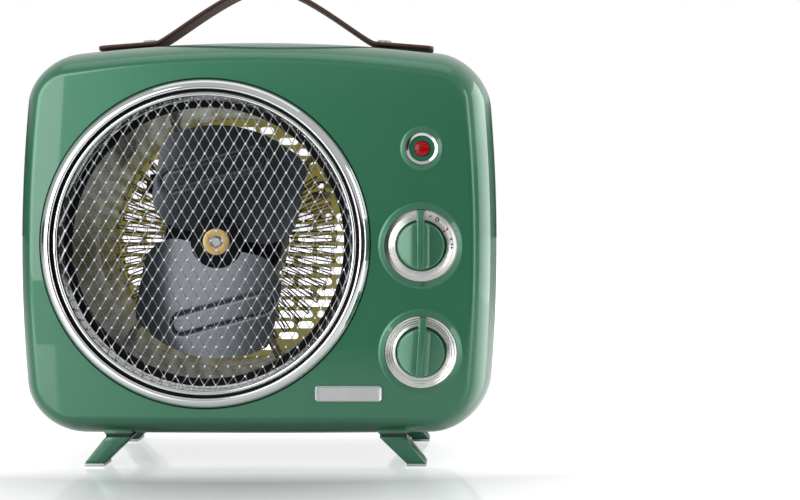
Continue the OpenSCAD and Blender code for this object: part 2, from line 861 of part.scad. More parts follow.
// Knob with a hollow core, a tall fin and a pointer that reaches over the dial ring
module knob(x, z, turn) {
    translate([x, 0, z])
        rotate([0, turn, 0])
            difference() {
                union() {
                    turned(0, 0)
                        polygon([
                            [0, knob_skirt_at], [core_r, knob_skirt_at],
                            [core_r, core_round - core_proud],
                            [core_r - core_round / 3, core_round / 3 - core_proud],
                            [core_r - core_round, -core_proud], [0, -core_proud]
                        ]);
                    translate([0, front_y, -core_r + 0.2])
                        linear_extrude(core_r - 0.2 + fin_reach)
                            polygon([
                                [-blade_root_w / 2, -1], [blade_root_w / 2, -1],
                                [fin_w / 2, -fin_proud], [-fin_w / 2, -fin_proud]
                            ]);
                    translate([0, front_y, -core_r + 1.6])
                        linear_extrude(2 * core_r - 3.2)
                            polygon([
                                [-flare_w / 2, -core_proud + 0.2], [flare_w / 2, -core_proud + 0.2],
                                [fin_w / 2 + 0.1, -fin_proud + 1], [-fin_w / 2 - 0.1, -fin_proud + 1]
                            ]);
                }
                rod(0, 0, knob_ceiling_at, knob_skirt_at + over, knob_cavity_r);
                rod(0, 0, -shaft_front - 0.2, over, shaft_r + run_gap);
            }
}

module control_shaft(x, z) {
    rod(x, z, -shaft_front, shaft_back_at, shaft_r);
}

module hex_nut(x, z) {
    slab(dish_d - nut_h, dish_d)
        translate([x, z])
            nut_2d(nut_r, bush_r + run_gap);
}

module selector_knob() {
    color(enamel)
        knob(knob_x, selector_z, 0);
}
module thermostat_knob() {
    color(enamel)
        knob(knob_x, thermostat_z, thermostat_turn);
}
module selector_shaft() {
    color(steel)
        control_shaft(knob_x, selector_z);
}
module thermostat_shaft() {
    color(steel)
        control_shaft(knob_x, thermostat_z);
}
module selector_nut() {
    color(steel)
        hex_nut(knob_x, selector_z);
}
module thermostat_nut() {
    color(steel)
        hex_nut(knob_x, thermostat_z);
}

dial_front = -0.2;
dial_chamfer = 0.5;
module selector_dial_ring() {
    color(chrome)
        turned(knob_x, selector_z)
            polygon([
                [dial_bore_r, dish_d], [dial_r, dish_d], [dial_r, dial_front + dial_chamfer],
                [dial_r - dial_chamfer, dial_front], [dial_bore_r + dial_chamfer, dial_front],
                [dial_bore_r, dial_front + dial_chamfer]
            ]);
}

// The thermostat's ring steps down outwards in three rounds
dial_step_w = 1.3;
dial_step_h = 0.35;
module thermostat_dial_ring() {
    color(chrome)
        turned(knob_x, thermostat_z)
            polygon(concat(
                [[dial_bore_r, dish_d], [dial_r, dish_d]],
                [for (k = [3 : -1 : 1]) each [
                    [dial_r - (3 - k) * dial_step_w, dial_front + k * dial_step_h],
                    [dial_r - (4 - k) * dial_step_w, dial_front + k * dial_step_h]
                ]],
                [
                    [dial_r - 3 * dial_step_w, dial_front], [dial_bore_r + dial_chamfer, dial_front],
                    [dial_bore_r, dial_front + dial_chamfer]
                ]
            ));
}

switch_front = dish_d + wall;
switch_r = 17;
switch_back = 30;
module selector_switch() {
    color(black)
        difference() {
            union() {
                rod(knob_x, selector_z, switch_front, switch_back, switch_r);
                rod(knob_x, selector_z, dish_d - nut_h - 0.4, switch_front + eps, bush_r);
                for (a = steps_round(4, 45))
                    slab(switch_back, switch_back + 7)
                        translate([knob_x + 11 * cos(a), selector_z + 11 * sin(a)])
                            square([0.8, 6.3], center = true);
            }
            rod(knob_x, selector_z, -over, shaft_back_at + 0.5, shaft_r + run_gap);
        }
}

thermostat_w = 32;
module thermostat() {
    color([0.86, 0.84, 0.78])
        difference() {
            union() {
                slab(switch_front, switch_back - 2)
                    translate([knob_x, thermostat_z])
                        square([thermostat_w, thermostat_w - 6], center = true);
                rod(knob_x, thermostat_z, dish_d - nut_h - 0.4, switch_front + eps, bush_r);
                for (s = [-1, 1])
                    slab(switch_back - 2, switch_back + 5)
                        translate([knob_x + s * 10, thermostat_z])
                            square([0.8, 6.3], center = true);
            }
            rod(knob_x, thermostat_z, -over, shaft_back_at + 0.5, shaft_r + run_gap);
        }
}

module pilot_bezel() {
    top = -0.4;
    color(chrome)
        turned(pilot_x, pilot_z)
            polygon([
                [pilot_bore_r, pilot_dish_d], [pilot_ring_r, pilot_dish_d], [pilot_ring_r, top + 0.6],
                [pilot_ring_r - 0.6, top], [pilot_bore_r + 0.4, top], [pilot_bore_r, top + 0.4]
            ]);
}

module pilot_lens() {
    dome_at = -0.2;
    color([0.6, 0.08, 0.08])
        turned(pilot_x, pilot_z)
            union() {
                translate([0, dome_at + 1.4])
                    square([lens_r, pilot_dish_d + wall - dome_at - 1.4]);
                intersection() {
                    translate([0, dome_at + 6.7])
                        circle(6.7);
                    translate([0, dome_at])
                        square([lens_r, 1.5]);
                }
            }
}

module pilot_lamp() {
    u = pilot_dish_d + wall;
    color(black) {
        rod(pilot_x, pilot_z, u, u + 3, lens_r + 2.4);
        rod(pilot_x, pilot_z, u, u + 18, lens_r);
    }
}

module round_plate(w, h, r) {
    square([w - 2 * r, h], center = true);
    square([w, h - 2 * r], center = true);
    for (sx = [-1, 1], sz = [-1, 1])
        translate([sx * (w / 2 - r), sz * (h / 2 - r)])
            circle(r);
}

badge_corner = 1.8;
badge_border = 0.7;
module badge_plate() {
    color(steel)
        difference() {
            slab(-1.4, 0)
                translate([badge_x, badge_z])
                    round_plate(badge_w, badge_h, badge_corner);
            slab(-2, -1)
                translate([badge_x, badge_z])
                    round_plate(badge_w - 2 * badge_border, badge_h - 2 * badge_border,
                        badge_corner - badge_border);
        }
}

// Height of the body's underside at the outer edge of a leg, for a depth u
leg_edge_x = leg_top_x - leg_top_w / 2;
function under_z(u) = mid_z - base_b + skin_in(u, 0)
    - bottom_crown * (1 - pow(leg_edge_x / (base_a - skin_in(u, 0)), 2));
// Side view of everything below that underside, over the depth of a leg that starts at u0
under_steps = 10;
module under_2d(u0) {
    polygon(concat(
        [for (k = [-1 : under_steps + 1]) let (v = leg_d * k / under_steps)
            [v, under_z(u0 + v) - touch]],
        [[leg_d + leg_d / under_steps, -over], [-leg_d / under_steps, -over]]
    ));
}
// Side view placed round a leg's middle and made as wide as the leg needs
module leg_side(side, u0) {
    translate([side * leg_top_x - 2 * leg_top_w, front_y + u0, 0])
        rotate([90, 0, 90])
            linear_extrude(4 * leg_top_w)
                children();
}

// Leg seen from the front: it leans outwards and tapers to the sole
leg_side_taper = 1.5;
module leg_front_2d() {
    t = leg_top_w / 2;
    f = leg_foot_w / 2;
    polygon([
        [leg_top_x - t, leg_top_z], [leg_top_x + t, leg_top_z],
        [leg_top_x + leg_splay + f, sole_h], [leg_top_x + leg_splay - f, sole_h]
    ]);
}
module leg_side_2d() {
    polygon([
        [0, leg_top_z], [leg_d, leg_top_z],
        [leg_d - leg_side_taper, sole_h], [leg_side_taper, sole_h]
    ]);
}
module leg(side, u0) {
    color(enamel)
        difference() {
            intersection() {
                mirror([side < 0 ? 1 : 0, 0, 0])
                    slab(u0 - over, u0 + leg_d + over)
                        leg_front_2d();
                leg_side(side, u0)
                    intersection() {
                        leg_side_2d();
                        under_2d(u0);
                    }
            }
            translate([side * leg_screw_x, front_y + u0 + leg_d / 2, leg_top_z - leg_screw_len])
                cylinder(r = leg_screw_r, h = leg_screw_len + over);
        }
}
module leg_front_right() {
    leg(1, leg_at);
}
module leg_front_left() {
    leg(-1, leg_at);
}
module leg_rear_right() {
    leg(1, rear_leg_at);
}
module leg_rear_left() {
    leg(-1, rear_leg_at);
}

pad_in = 0.5;
module leg_pads() {
    color(black)
        for (side = [-1, 1], u0 = [leg_at, rear_leg_at])
            difference() {
                intersection() {
                    translate([side * leg_top_x - leg_top_w / 2 + pad_in, front_y, 0])
                        cube([leg_top_w - 2 * pad_in, body_d, leg_top_z + pad_h]);
                    leg_side(side, u0)
                        intersection() {
                            translate([pad_in, leg_top_z])
                                square([leg_d - 2 * pad_in, pad_h]);
                            under_2d(u0);
                        }
                }
                leg_screw_hole(side, u0);
            }
}

module leg_soles() {
    color(chrome)
        for (side = [-1, 1], u0 = [leg_at, rear_leg_at])
            translate([
                side * (leg_top_x + leg_splay) - leg_foot_w / 2, front_y + u0 + leg_side_taper, 0
            ])
                cube([leg_foot_w, leg_d - 2 * leg_side_taper, sole_h]);
}

module leg_screws() {
    head_z = leg_top_z + pad_h + boss_h;
    color(steel)
        for (side = [-1, 1], u0 = [leg_at, rear_leg_at])
            translate([side * leg_screw_x, front_y + u0 + leg_d / 2, head_z]) {
                translate([0, 0, -boss_h - pad_h - leg_screw_len + 1])
                    cylinder(r = leg_screw_r - run_gap, h = boss_h + pad_h + leg_screw_len - 1 + eps);
                cylinder(r = screw_head_r + 0.4, h = 2);
            }
}

// Line offset sideways by h on both sides, closed into a ribbon
function unit(v) = v / norm(v);
function left_of(v) = [-v[1], v[0]];
function miter(p, i) = let (
    n = len(p) - 1,
    d0 = unit(p[min(i, n - 1) + 1] - p[min(i, n - 1)]),
    d1 = unit(p[max(i, 1)] - p[max(i, 1) - 1]),
    m = unit(left_of(d0) + left_of(d1))
) m / (m * left_of(d0));
function ribbon(p, h) = concat(
    [for (i = [0 : len(p) - 1]) p[i] + h * miter(p, i)],
    [for (i = [len(p) - 1 : -1 : 0]) p[i] - h * miter(p, i)]
);

// Middle line of the strap: one cubic curve from crown to stud, then the straight tail
function cubic(a, b, c, d, t) =
    pow(1 - t, 3) * a + 3 * pow(1 - t, 2) * t * b + 3 * (1 - t) * t * t * c + pow(t, 3) * d;
down = [cos(stud_slope), -sin(stud_slope)];
stud_point = [stud_x, strap_z];
crown_point = [0, strap_z + strap_rise];
// The strap lies straight under the stud's head and bends from its edge on
bend_point = stud_point - (stud_head_r + fit_gap) * down;
strap_half = concat(
    [for (k = [0 : strap_steps]) cubic(
        crown_point, crown_point + [crown_pull, 0], bend_point - stud_pull * down, bend_point,
        k / strap_steps
    )],
    [stud_point + strap_tail * down]
);
strap_line = concat(
    [for (i = [len(strap_half) - 1 : -1 : 1]) [-strap_half[i][0], strap_half[i][1]]],
    strap_half
);
module carry_strap() {
    color(leather)
        difference() {
            slab(mid_d - strap_w / 2, mid_d + strap_w / 2)
                polygon(ribbon(strap_line, strap_t / 2));
            for (side = [-1, 1])
                at_stud(side)
                    cylinder(r = stud_r + stud_hole_gap, h = 10);
        }
}

module strap_studs() {
    head_at = strap_lift + strap_t;
    color(chrome)
        for (side = [-1, 1])
            at_stud(side) {
                translate([0, 0, -post_end])
                    cylinder(r = stud_r, h = post_end + head_at + eps);
                translate([0, 0, head_at])
                    rotate_extrude()
                        polygon([
                            [0, 0], [stud_head_r, 0], [stud_head_r, 0.7 * stud_head_h],
                            [0.8 * stud_head_r, stud_head_h], [0, stud_head_h]
                        ]);
            }
}

module strap_spacers() {
    color(black)
        for (side = [-1, 1])
            at_stud(side)
                translate([0, 0, touch])
                    difference() {
                        cylinder(r = stud_r + stud_hole_gap + spacer_wall, h = strap_lift - touch);
                        translate([0, 0, -over])
                            cylinder(r = stud_r + run_gap, h = strap_lift + 2 * over);
                    }
}

module strap_nuts() {
    color(steel)
        for (side = [-1, 1])
            at_stud(side)
                translate([0, 0, -wall - fit_gap - strap_nut_h])
                    linear_extrude(strap_nut_h)
                        nut_2d(strap_nut_r, stud_r + run_gap);
}

// Outline of one paddle pointing along +X, before it is turned to its place
paddle_root = 3;
root_corner = 19;
module paddle_2d() {
    straight = fan_r - paddle_corner - paddle_root - root_corner;
    intersection() {
        circle(fan_r);
        union() {
            translate([paddle_root + root_corner, -paddle_half_w])
                square([straight, 2 * paddle_half_w]);
            translate([paddle_root, root_corner - paddle_half_w])
                square([root_corner + 1, 2 * (paddle_half_w - root_corner)]);
            translate([fan_r - paddle_corner - 1, paddle_corner - paddle_half_w])
                square([paddle_corner + 1, 2 * (paddle_half_w - paddle_corner)]);
            for (s = [-1, 1]) {
                translate([fan_r - paddle_corner, s * (paddle_half_w - paddle_corner)])
                    circle(paddle_corner);
                translate([paddle_root + root_corner, s * (paddle_half_w - root_corner)])
                    circle(root_corner);
            }
        }
    }
}

// Curved sheet of a paddle: part of a wide tube along X, tipped by the pitch,
// between two heights over the sheet's own middle
module cambered_sheet(low, high) {
    rotate([paddle_pitch, 0, 0])
        translate([0, 0, -camber_r])
            rotate([0, 90, 0])
                difference() {
                    cylinder(r = camber_r + high, h = fan_r + 1);
                    translate([0, 0, -over])
                        cylinder(r = camber_r + low, h = fan_r + 3);
                }
}

module paddle() {
    intersection() {
        linear_extrude(fan_r, center = true)
            paddle_2d();
        cambered_sheet(-fan_t / 2, fan_t / 2);
    }
    intersection() {
        linear_extrude(fan_r, center = true)
            translate([rib_out, rib_side])
                rotate(rib_turn)
                    slot(rib_l, rib_w);
        cambered_sheet(0, fan_t / 2 + rib_rise);
    }
}

// Axis frame: local Z points to the front along the fan's axis, local X to the right
module at_axis(u) {
    translate([ring_x, front_y + u, ring_z])
        rotate([90, 0, 0])
            children();
}

module fan_impeller() {
    color(galvanised)
        difference() {
            union() {
                at_axis(fan_at)
                    for (a = [fan_angle, fan_angle + 180])
                        rotate([0, 0, a])
                            paddle();
                rod(ring_x, ring_z, fan_at - hub_boss_h / 2, fan_at + hub_boss_h / 2, hub_boss_r);
            }
            rod(ring_x, ring_z, fan_at - 30, fan_at + 30, hub_r);
        }
}

module fan_hub() {
    color(brass) {
        tube(ring_x, ring_z, fan_at - hub_h / 2, fan_at + hub_h / 2, hub_r, motor_shaft_r);
        tube(ring_x, ring_z, fan_at + hub_boss_h / 2, fan_at + hub_h / 2, hub_r + 3, motor_shaft_r);
    }
}

module motor_shaft() {
    color(steel)
        rod(ring_x, ring_z, shaft_front_at, shaft_end_at, motor_shaft_r);
}

module motor_rotor() {
    color(steel)
        tube(ring_x, ring_z, stack_at, stack_end, rotor_r, motor_shaft_r);
}

module motor_stator() {
    color(steel)
        slab(stack_at, stack_end)
            translate([ring_x, ring_z])
                difference() {
                    union() {
                        difference() {
                            circle(motor_r);
                            circle(motor_r - stator_ring_w);
                        }
                        for (a = steps_round(4, 0))
                            rotate(a)
                                translate([pole_bore_r - 2, -pole_w / 2])
                                    square([motor_r - stator_ring_w - pole_bore_r + 3, pole_w]);
                        for (a = steps_round(4, 0))
                            rotate(a)
                                intersection() {
                                    circle(pole_bore_r + 1.6);
                                    translate([0, -pole_w])
                                        square([2 * pole_w, 2 * pole_w]);
                                }
                    }
                    circle(pole_bore_r);
                    for (a = steps_round(4, 45))
                        translate(bolt_circle * [cos(a), sin(a)])
                            circle(bolt_r + fastener_gap);
                }
}

module motor_windings() {
    color([0.55, 0.27, 0.12])
        for (a = steps_round(4, 0))
            slab(stack_at - coil_over, stack_end + coil_over)
                translate([ring_x, ring_z])
                    rotate(a)
                        difference() {
                            translate([(coil_in_r + coil_out_r) / 2, 0])
                                round_plate(coil_out_r - coil_in_r, coil_w, 1.5);
                            translate([(coil_in_r + coil_out_r) / 2, 0])
                                square([2 * coil_w, pole_w + fastener_gap], center = true);
                        }
}

// Motor cover: a disc with a rim towards the stack and a boss that holds the bearing
module motor_cover(u_disc, u_rim0, u_rim1, u_boss) {
    color(black)
        difference() {
            union() {
                rod(ring_x, ring_z, u_disc, u_disc + cover_t, motor_r);
                tube(ring_x, ring_z, u_rim0, u_rim1, motor_r, motor_r - cover_rim_w);
                rod(ring_x, ring_z, u_boss, u_boss + bearing_h, bearing_r + boss_wall);
            }
            rod(ring_x, ring_z, u_boss - over, u_boss + bearing_h + over, bearing_r);
            around(ring_x, ring_z, bolt_circle, steps_round(4, 45))
                rod(0, 0, u_disc - over, u_disc + cover_t + over, bolt_r + fastener_gap);
        }
}
front_boss_at = motor_at - 2;
rear_boss_at = rear_cover_at - 2;
module motor_front_cover() {
    motor_cover(motor_at, motor_at + cover_t - eps, stack_at, front_boss_at);
}
module motor_rear_cover() {
    motor_cover(rear_cover_at, stack_end, rear_cover_at + eps, rear_boss_at);
}
module bearing(u) {
    color(brass)
        tube(ring_x, ring_z, u, u + bearing_h, bearing_r, motor_shaft_r + run_gap);
}
module motor_front_bearing() {
    bearing(front_boss_at);
}
module motor_rear_bearing() {
    bearing(rear_boss_at);
}

module motor_bolts() {
    back = rear_cover_at + cover_t;
    color(steel)
        around(ring_x, ring_z, bolt_circle, steps_round(4, 45)) {
            rod(0, 0, motor_at - 1.8, motor_at, bolt_r + 1.2);
            rod(0, 0, motor_at - eps, back + 3, bolt_r);
            slab(back, back + 2.4)
                circle(bolt_r + 1.4, $fn = 6);
        }
}

module motor_standoffs() {
    u = rear_cover_at + cover_t;
    color(zinc_gold)
        around(ring_x, ring_z, standoff_circle, steps_round(4, 0))
            tube(0, 0, u, plate_at, standoff_r, standoff_screw_r);
}

module motor_screws() {
    color(chrome)
        around(ring_x, ring_z, standoff_circle, steps_round(4, 0))
            rear_screw(plate_at + plate_t, plate_t + standoff_thread, standoff_screw_r - run_gap);
}

// Mica vanes stand out from a hoop round the motor and are slotted for the heater wires
module vane() {
    difference() {
        translate([hoop_in_r + hoop_t / 2, -vane_t / 2, vane_front])
            cube([duct_r - fit_gap - hoop_in_r - hoop_t / 2, vane_t, vane_back - vane_front]);
        for (u = [low_wire_at, high_wire_at])
            translate([fold_in_r - 1, -vane_t, u - ribbon_t / 2 - 0.2])
                cube([fold_out_r - fold_in_r + 2, 2 * vane_t, ribbon_t + 0.4]);
    }
}
module element_frame() {
    color(mica) {
        tube(ring_x, ring_z, vane_front, vane_back, hoop_in_r + hoop_t, hoop_in_r);
        for (a = vane_angles)
            translate([ring_x, front_y, ring_z])
                rotate([0, -a, 0])
                    rotate([-90, 0, 0])
                        vane();
    }
}

// Folded wire: out at one angle, along the outer tip, in at the next, and so on round the motor
fold_a = wire_span / folds;
function tip_a(r) = tip_w / 2 / r * 180 / PI;
function on_circle(r, a) = r * [cos(a), sin(a)];
function fold_line(a0) = [
    for (k = [0 : folds - 1]) let (a = a0 - k * fold_a, b = a - fold_a / 2) each [
        on_circle(fold_in_r, a - tip_a(fold_in_r)),
        on_circle(fold_out_r, b + tip_a(fold_out_r)),
        on_circle(fold_out_r, b - tip_a(fold_out_r)),
        on_circle(fold_in_r, a - fold_a + tip_a(fold_in_r))
    ]
];
module heater_wire(u, a0) {
    color(steel)
        slab(u - ribbon_t / 2, u + ribbon_t / 2)
            translate([ring_x, ring_z])
                polygon(ribbon(fold_line(a0), ribbon_w / 2));
}
module heater_wire_low() {
    heater_wire(low_wire_at, wire_start);
}
module heater_wire_high() {
    heater_wire(high_wire_at, wire_start + fold_a / 2);
}

// Overheat cut-out on an angle bracket that stands on the slotted plate
cutout_r = 8;
cutout_out = duct_r - 2.1 * cutout_r;
cutout_x = -cutout_out * cos(36.5);
cutout_z = cutout_out * sin(36.5);
module thermal_cutout() {
    foot = plate_at;
    reach = 24;
    color(zinc_gold)
        translate([ring_x + cutout_x, 0, ring_z + cutout_z]) {
            slab(foot - 1, foot)
                square([18, 12], center = true);
            slab(foot - reach, foot - 1 + eps)
                translate([0, -5.5])
                    square([18, 1], center = true);
        }
    color(black)
        translate([ring_x + cutout_x, front_y + foot - reach + cutout_r + 1, ring_z + cutout_z - 5])
            cylinder(r = cutout_r, h = 7);
}

module terminal_cover() {
    u = plate_at + plate_t;
    color(zinc_gold)
        difference() {
            union() {
                slab(u, box_back)
                    translate([box_x, box_z])
                        square([box_w, box_h], center = true);
                for (s = [-1, 1])
                    rod(box_x, box_z + s * box_ear_z, u, u + box_wall, box_ear_r);
            }
            slab(u - over, box_back - box_wall)
                translate([box_x, box_z])
                    square([box_w - 2 * box_wall, box_h - 2 * box_wall], center = true);
            rod(box_x, box_z, u, box_back + over, gland_thread_r + fastener_gap);
            for (s = [-1, 1])
                rod(box_x, box_z + s * box_ear_z, u - over, u + 2 * over, box_screw_r + fastener_gap);
        }
}

module terminal_block() {
    u = plate_at + plate_t;
    color([0.9, 0.89, 0.85])
        difference() {
            slab(u, u + block_d)
                translate([box_x + box_w / 2 - box_wall - block_w / 2 - 1, box_z])
                    round_plate(block_w - 1, block_h, 1);
            for (s = [-1, 0, 1])
                rod(box_x + box_w / 2 - box_wall - block_w / 2 - 1, box_z + s * block_pitch, u + 1,
                    u + block_d + over, 1.6);
        }
}

module terminal_screws() {
    u = plate_at + plate_t + box_wall;
    color(chrome)
        for (s = [-1, 1])
            translate([box_x, 0, box_z + s * box_ear_z]) {
                rod(0, 0, u - box_wall - plate_t - 1, u + eps, box_screw_r);
                rod(0, 0, u, u + 1.2, 2.1);
            }
}

module cable_gland() {
    end = body_d + gland_proud;
    color(black)
        turned(box_x, box_z)
            difference() {
                polygon([
                    [0, box_back - box_wall - gland_nut_h - 0.5],
                    [gland_thread_r, box_back - box_wall - gland_nut_h - 0.5],
                    [gland_thread_r, box_back], [gland_flange_r, box_back],
                    [gland_flange_r, box_back + gland_flange_h],
                    [gland_r, box_back + gland_flange_h + 0.6], [gland_r, end - 1.2],
                    [gland_r - 1.2, end], [0, end]
                ]);
                translate([0, box_back - 10])
                    square([cord_r, end]);
            }
}

module gland_nut() {
    color(steel)
        slab(box_back - box_wall - gland_nut_h, box_back - box_wall)
            translate([box_x, box_z])
                nut_2d(gland_nut_r, gland_thread_r + run_gap);
}

front_shell();
rear_shell();
seam_screws();
bezel_ring();
groove_gasket();
lip_ring();
grille_mesh();
duct_collar();
collar_nuts();
air_duct();
rear_grille();
rear_grille_screws();
selector_knob();
selector_shaft();
selector_dial_ring();
selector_nut();
selector_switch();
thermostat_knob();
thermostat_shaft();
thermostat_dial_ring();
thermostat_nut();
thermostat();
pilot_bezel();
pilot_lens();
pilot_lamp();
badge_plate();
leg_front_right();
leg_front_left();
leg_rear_right();
leg_rear_left();
leg_pads();
leg_soles();
leg_screws();
carry_strap();
strap_studs();
strap_spacers();
strap_nuts();
fan_impeller();
fan_hub();
motor_shaft();
motor_rotor();
motor_stator();
motor_windings();
motor_front_cover();
motor_rear_cover();
motor_front_bearing();
motor_rear_bearing();
motor_bolts();
motor_standoffs();
motor_screws();
element_frame();
heater_wire_low();
heater_wire_high();
thermal_cutout();
terminal_cover();
terminal_block();
terminal_screws();
cable_gland();
gland_nut();
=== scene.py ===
"""Portable fan heater: smooth surfaces, fine detail and finishes over the fixed model of its parts."""

import json
import math

import bmesh
import bpy
import numpy as np
from bpy.props import FloatProperty, FloatVectorProperty, PointerProperty
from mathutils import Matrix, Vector
from mathutils.geometry import tessellate_polygon

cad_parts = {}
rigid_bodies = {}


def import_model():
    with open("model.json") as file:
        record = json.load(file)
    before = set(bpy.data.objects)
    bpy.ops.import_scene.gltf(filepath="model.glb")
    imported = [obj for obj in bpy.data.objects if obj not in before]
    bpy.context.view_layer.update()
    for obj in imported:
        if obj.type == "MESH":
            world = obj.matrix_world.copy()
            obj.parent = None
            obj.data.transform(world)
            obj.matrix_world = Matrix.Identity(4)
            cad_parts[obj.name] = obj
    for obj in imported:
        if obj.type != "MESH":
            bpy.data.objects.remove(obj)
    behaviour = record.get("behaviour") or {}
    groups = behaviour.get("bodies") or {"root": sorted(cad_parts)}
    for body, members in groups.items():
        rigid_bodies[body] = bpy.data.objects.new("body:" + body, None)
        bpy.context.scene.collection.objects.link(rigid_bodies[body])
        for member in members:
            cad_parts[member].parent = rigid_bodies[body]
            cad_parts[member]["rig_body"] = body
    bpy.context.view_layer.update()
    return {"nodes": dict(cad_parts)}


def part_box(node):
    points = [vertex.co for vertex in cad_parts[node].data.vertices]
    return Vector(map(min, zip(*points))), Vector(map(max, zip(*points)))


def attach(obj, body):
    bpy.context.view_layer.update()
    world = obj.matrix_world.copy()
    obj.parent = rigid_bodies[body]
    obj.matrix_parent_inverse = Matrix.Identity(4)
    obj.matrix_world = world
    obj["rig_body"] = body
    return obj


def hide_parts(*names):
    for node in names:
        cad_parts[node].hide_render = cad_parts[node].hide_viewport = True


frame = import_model()
FINISHES = {}

bl_info = {
    "name": "Fan Heater",
    "version": (1, 0, 0),
    "blender": (4, 5, 0),
    "location": "View3D > Sidebar > Fan Heater",
    "description": "Builds a green enamelled fan heater round its fixed parts",
    "category": "Object",
}

# Lengths below are in millimetres. Depths are measured backwards from the flat front face.
MM = 0.001
FACE_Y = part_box("bezel_ring")[1].y


def middle(node):
    """Middle of a fixed part's box as x and z in millimetres."""
    low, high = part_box(node)
    return (low.x + high.x) / 2 / MM, (low.z + high.z) / 2 / MM


def depths(node):
    """Front and back of a fixed part's box, in millimetres behind the face."""
    low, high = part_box(node)
    return (low.y - FACE_Y) / MM, (high.y - FACE_Y) / MM


RING = RING_X, RING_Z = middle("motor_shaft")
SELECTOR = middle("selector_shaft")
THERMOSTAT = middle("thermostat_shaft")
PILOT = middle("pilot_bezel")
BADGE = middle("badge_plate")
GLAND = middle("cable_gland")

# Body outline: half sizes of the rounded rectangle before its sides swell
BODY_D = 135.0
MID_D = BODY_D / 2
BASE_A = 127.9
BASE_B = 106.3
MID_Z = 120.8
EDGE_IN = 16.0
SIDE_BULGE = 5.8
TOP_CROWN = 9.5
BOTTOM_CROWN = 1.0
CORNER_TOP = 27.0
CORNER_BOTTOM = 32.0
WALL = 1.5
SEAM_AT = 88.0
SEAM_GAP = 0.06

# Air ring
APERTURE_R = 81.9
LIP_IN_R = 79.4
LIP_R = 81.6
BEZEL_R = 88.8
BEZEL_IN_R = 83.2
BEZEL_W = 5.6
BEZEL_PROUD = 3.5
DUCT_R = 74.0
PLATE_AT = 122.5
INTAKE_R = 83.0
SEAT_R = 76.5

# Expanded metal: half a diamond across and up, and the dish at its rim
MESH_X = 3.15
MESH_Z = 5.25
DISH_AT = 5.4
DISH_FLAT_R = 71.6
DISH_BEND_R = 7.4
DISH_TURN = math.radians(80)
STRAND_LEAN = 0.34
STRAND_TILT = 0.8

# Controls
WELL_R = 20.6
WELL_D = 2.4
LIP = (2.0, 1.9, 0.64)
PILOT_LIP = (1.3, 1.7, 0.64)
DIAL_R = 19.5
DIAL_BORE_R = 13.6
DIAL_FACE = -0.16
DIAL_FACE_IN_R = DIAL_BORE_R + 0.45
GROOVE_D = 0.045
GROOVE_PITCH = 0.42
CORE_R = 12.75
CORE_PROUD = 8.0
FIN_PROUD = 13.0
BADGE_W = 35.9
BADGE_H = 8.4
BARREL_SLOPE = 0.4
FIN_REACH = 19.3
FIN_ROOT_W = 2.3
FIN_TOP_W = 1.9
KNOB_EASE = 0.8

# Camera's place across and up, in metres
CAMERA_X = 0.1124
CAMERA_Z = 0.143

# Legs
LEG_TOP_X = 75.1
LEG_SPLAY = 13.3
LEG_TOP_W = 14.2
LEG_FOOT_W = 11.2
LEG_D = 20.0
LEG_AT = 14.0
REAR_LEG_AT = BODY_D - LEG_AT - LEG_D
LEG_TOP_Z = 16.2
SOLE_H = 1.6
LEG_FOOT_IN = 1.5

# Fan
FAN_R = 66.0
FAN_AT = 42.0
PADDLE_HALF_W = 41.0
PADDLE_CORNER = 22.0
PADDLE_ROOT = 3.0
ROOT_CORNER = 19.0
PADDLE_PITCH = math.radians(10.0)
CAMBER_R = 200.0
FAN_T = 1.2
FAN_ANGLE = 79.0
RIB_MID = (39.5, 10.0)
RIB_TURN = math.radians(116)
RIB_HALF = 24.5
RIB_R = 5.6
RIB_PROUD = 0.35
RIB_GROOVE_R = 5.9
RIB_GROOVE_D = 0.95

# Strap
STUD_X = 68.0
STRAP_RISE = 33.8
STRAP_T = 2.2
STRAP_W = 22.0
STRAP_TAIL = 29.0
STRAP_CORNER = 5.0
STRAP_LIFT = 1.6
BEND_IN = 4.6
CROWN_PULL = 20.0
STUD_PULL = 6.0


def place(x, u, z):
    """World points in metres from millimetres across, back from the face, and up."""
    x, u, z = np.broadcast_arrays(
        np.asarray(x, float), np.asarray(u, float), np.asarray(z, float)
    )
    return np.stack([x * MM, FACE_Y + u * MM, z * MM], -1)


# Meshes


def grid_faces(rows, cols, wrap_rows, wrap_cols):
    """Quads of a grid of points; a wrapped direction joins its last line to its first."""
    i = np.arange(rows if wrap_rows else rows - 1)[:, None]
    j = np.arange(cols if wrap_cols else cols - 1)[None, :]
    i1, j1 = (i + 1) % rows, (j + 1) % cols
    quads = np.stack([i * cols + j, i * cols + j1, i1 * cols + j1, i1 * cols + j], -1)
    return quads.reshape(-1, 4)


def sheet(points, wrap_rows=False, wrap_cols=False):
    """A surface given by a grid of points, as its points and its quads."""
    rows, cols = points.shape[:2]
    return points.reshape(-1, 3), grid_faces(rows, cols, wrap_rows, wrap_cols)


def panel(loops):
    """A flat sheet inside the first loop and outside the others, as points and triangles."""
    triangles = tessellate_polygon([[Vector(p) for p in loop] for loop in loops])
    return np.concatenate(loops), np.array(triangles)


def solid(name, sheets, finish, node=None, body="housing", slot=None, sharp=32.0, uv=None):
    """Joins sheets into one closed mesh, welds it, faces it outwards and rides it on a body."""
    points = np.concatenate([s[0] for s in sheets])
    faces, start = [], 0
    for pts, quads in sheets:
        faces.extend((quads + start).tolist())
        start += len(pts)
    mesh = bpy.data.meshes.new(name)
    mesh.from_pydata(points.tolist(), [], faces)
    if uv is not None:
        layer = mesh.uv_layers.new(name="along")
        index = np.zeros(len(mesh.loops), np.int32)
        mesh.loops.foreach_get("vertex_index", index)
        layer.data.foreach_set("uv", uv[index].astype(np.float32).ravel())
    weld(mesh)
    shade(mesh, sharp)
    return ridden(linked(name, mesh, finish), node, body)


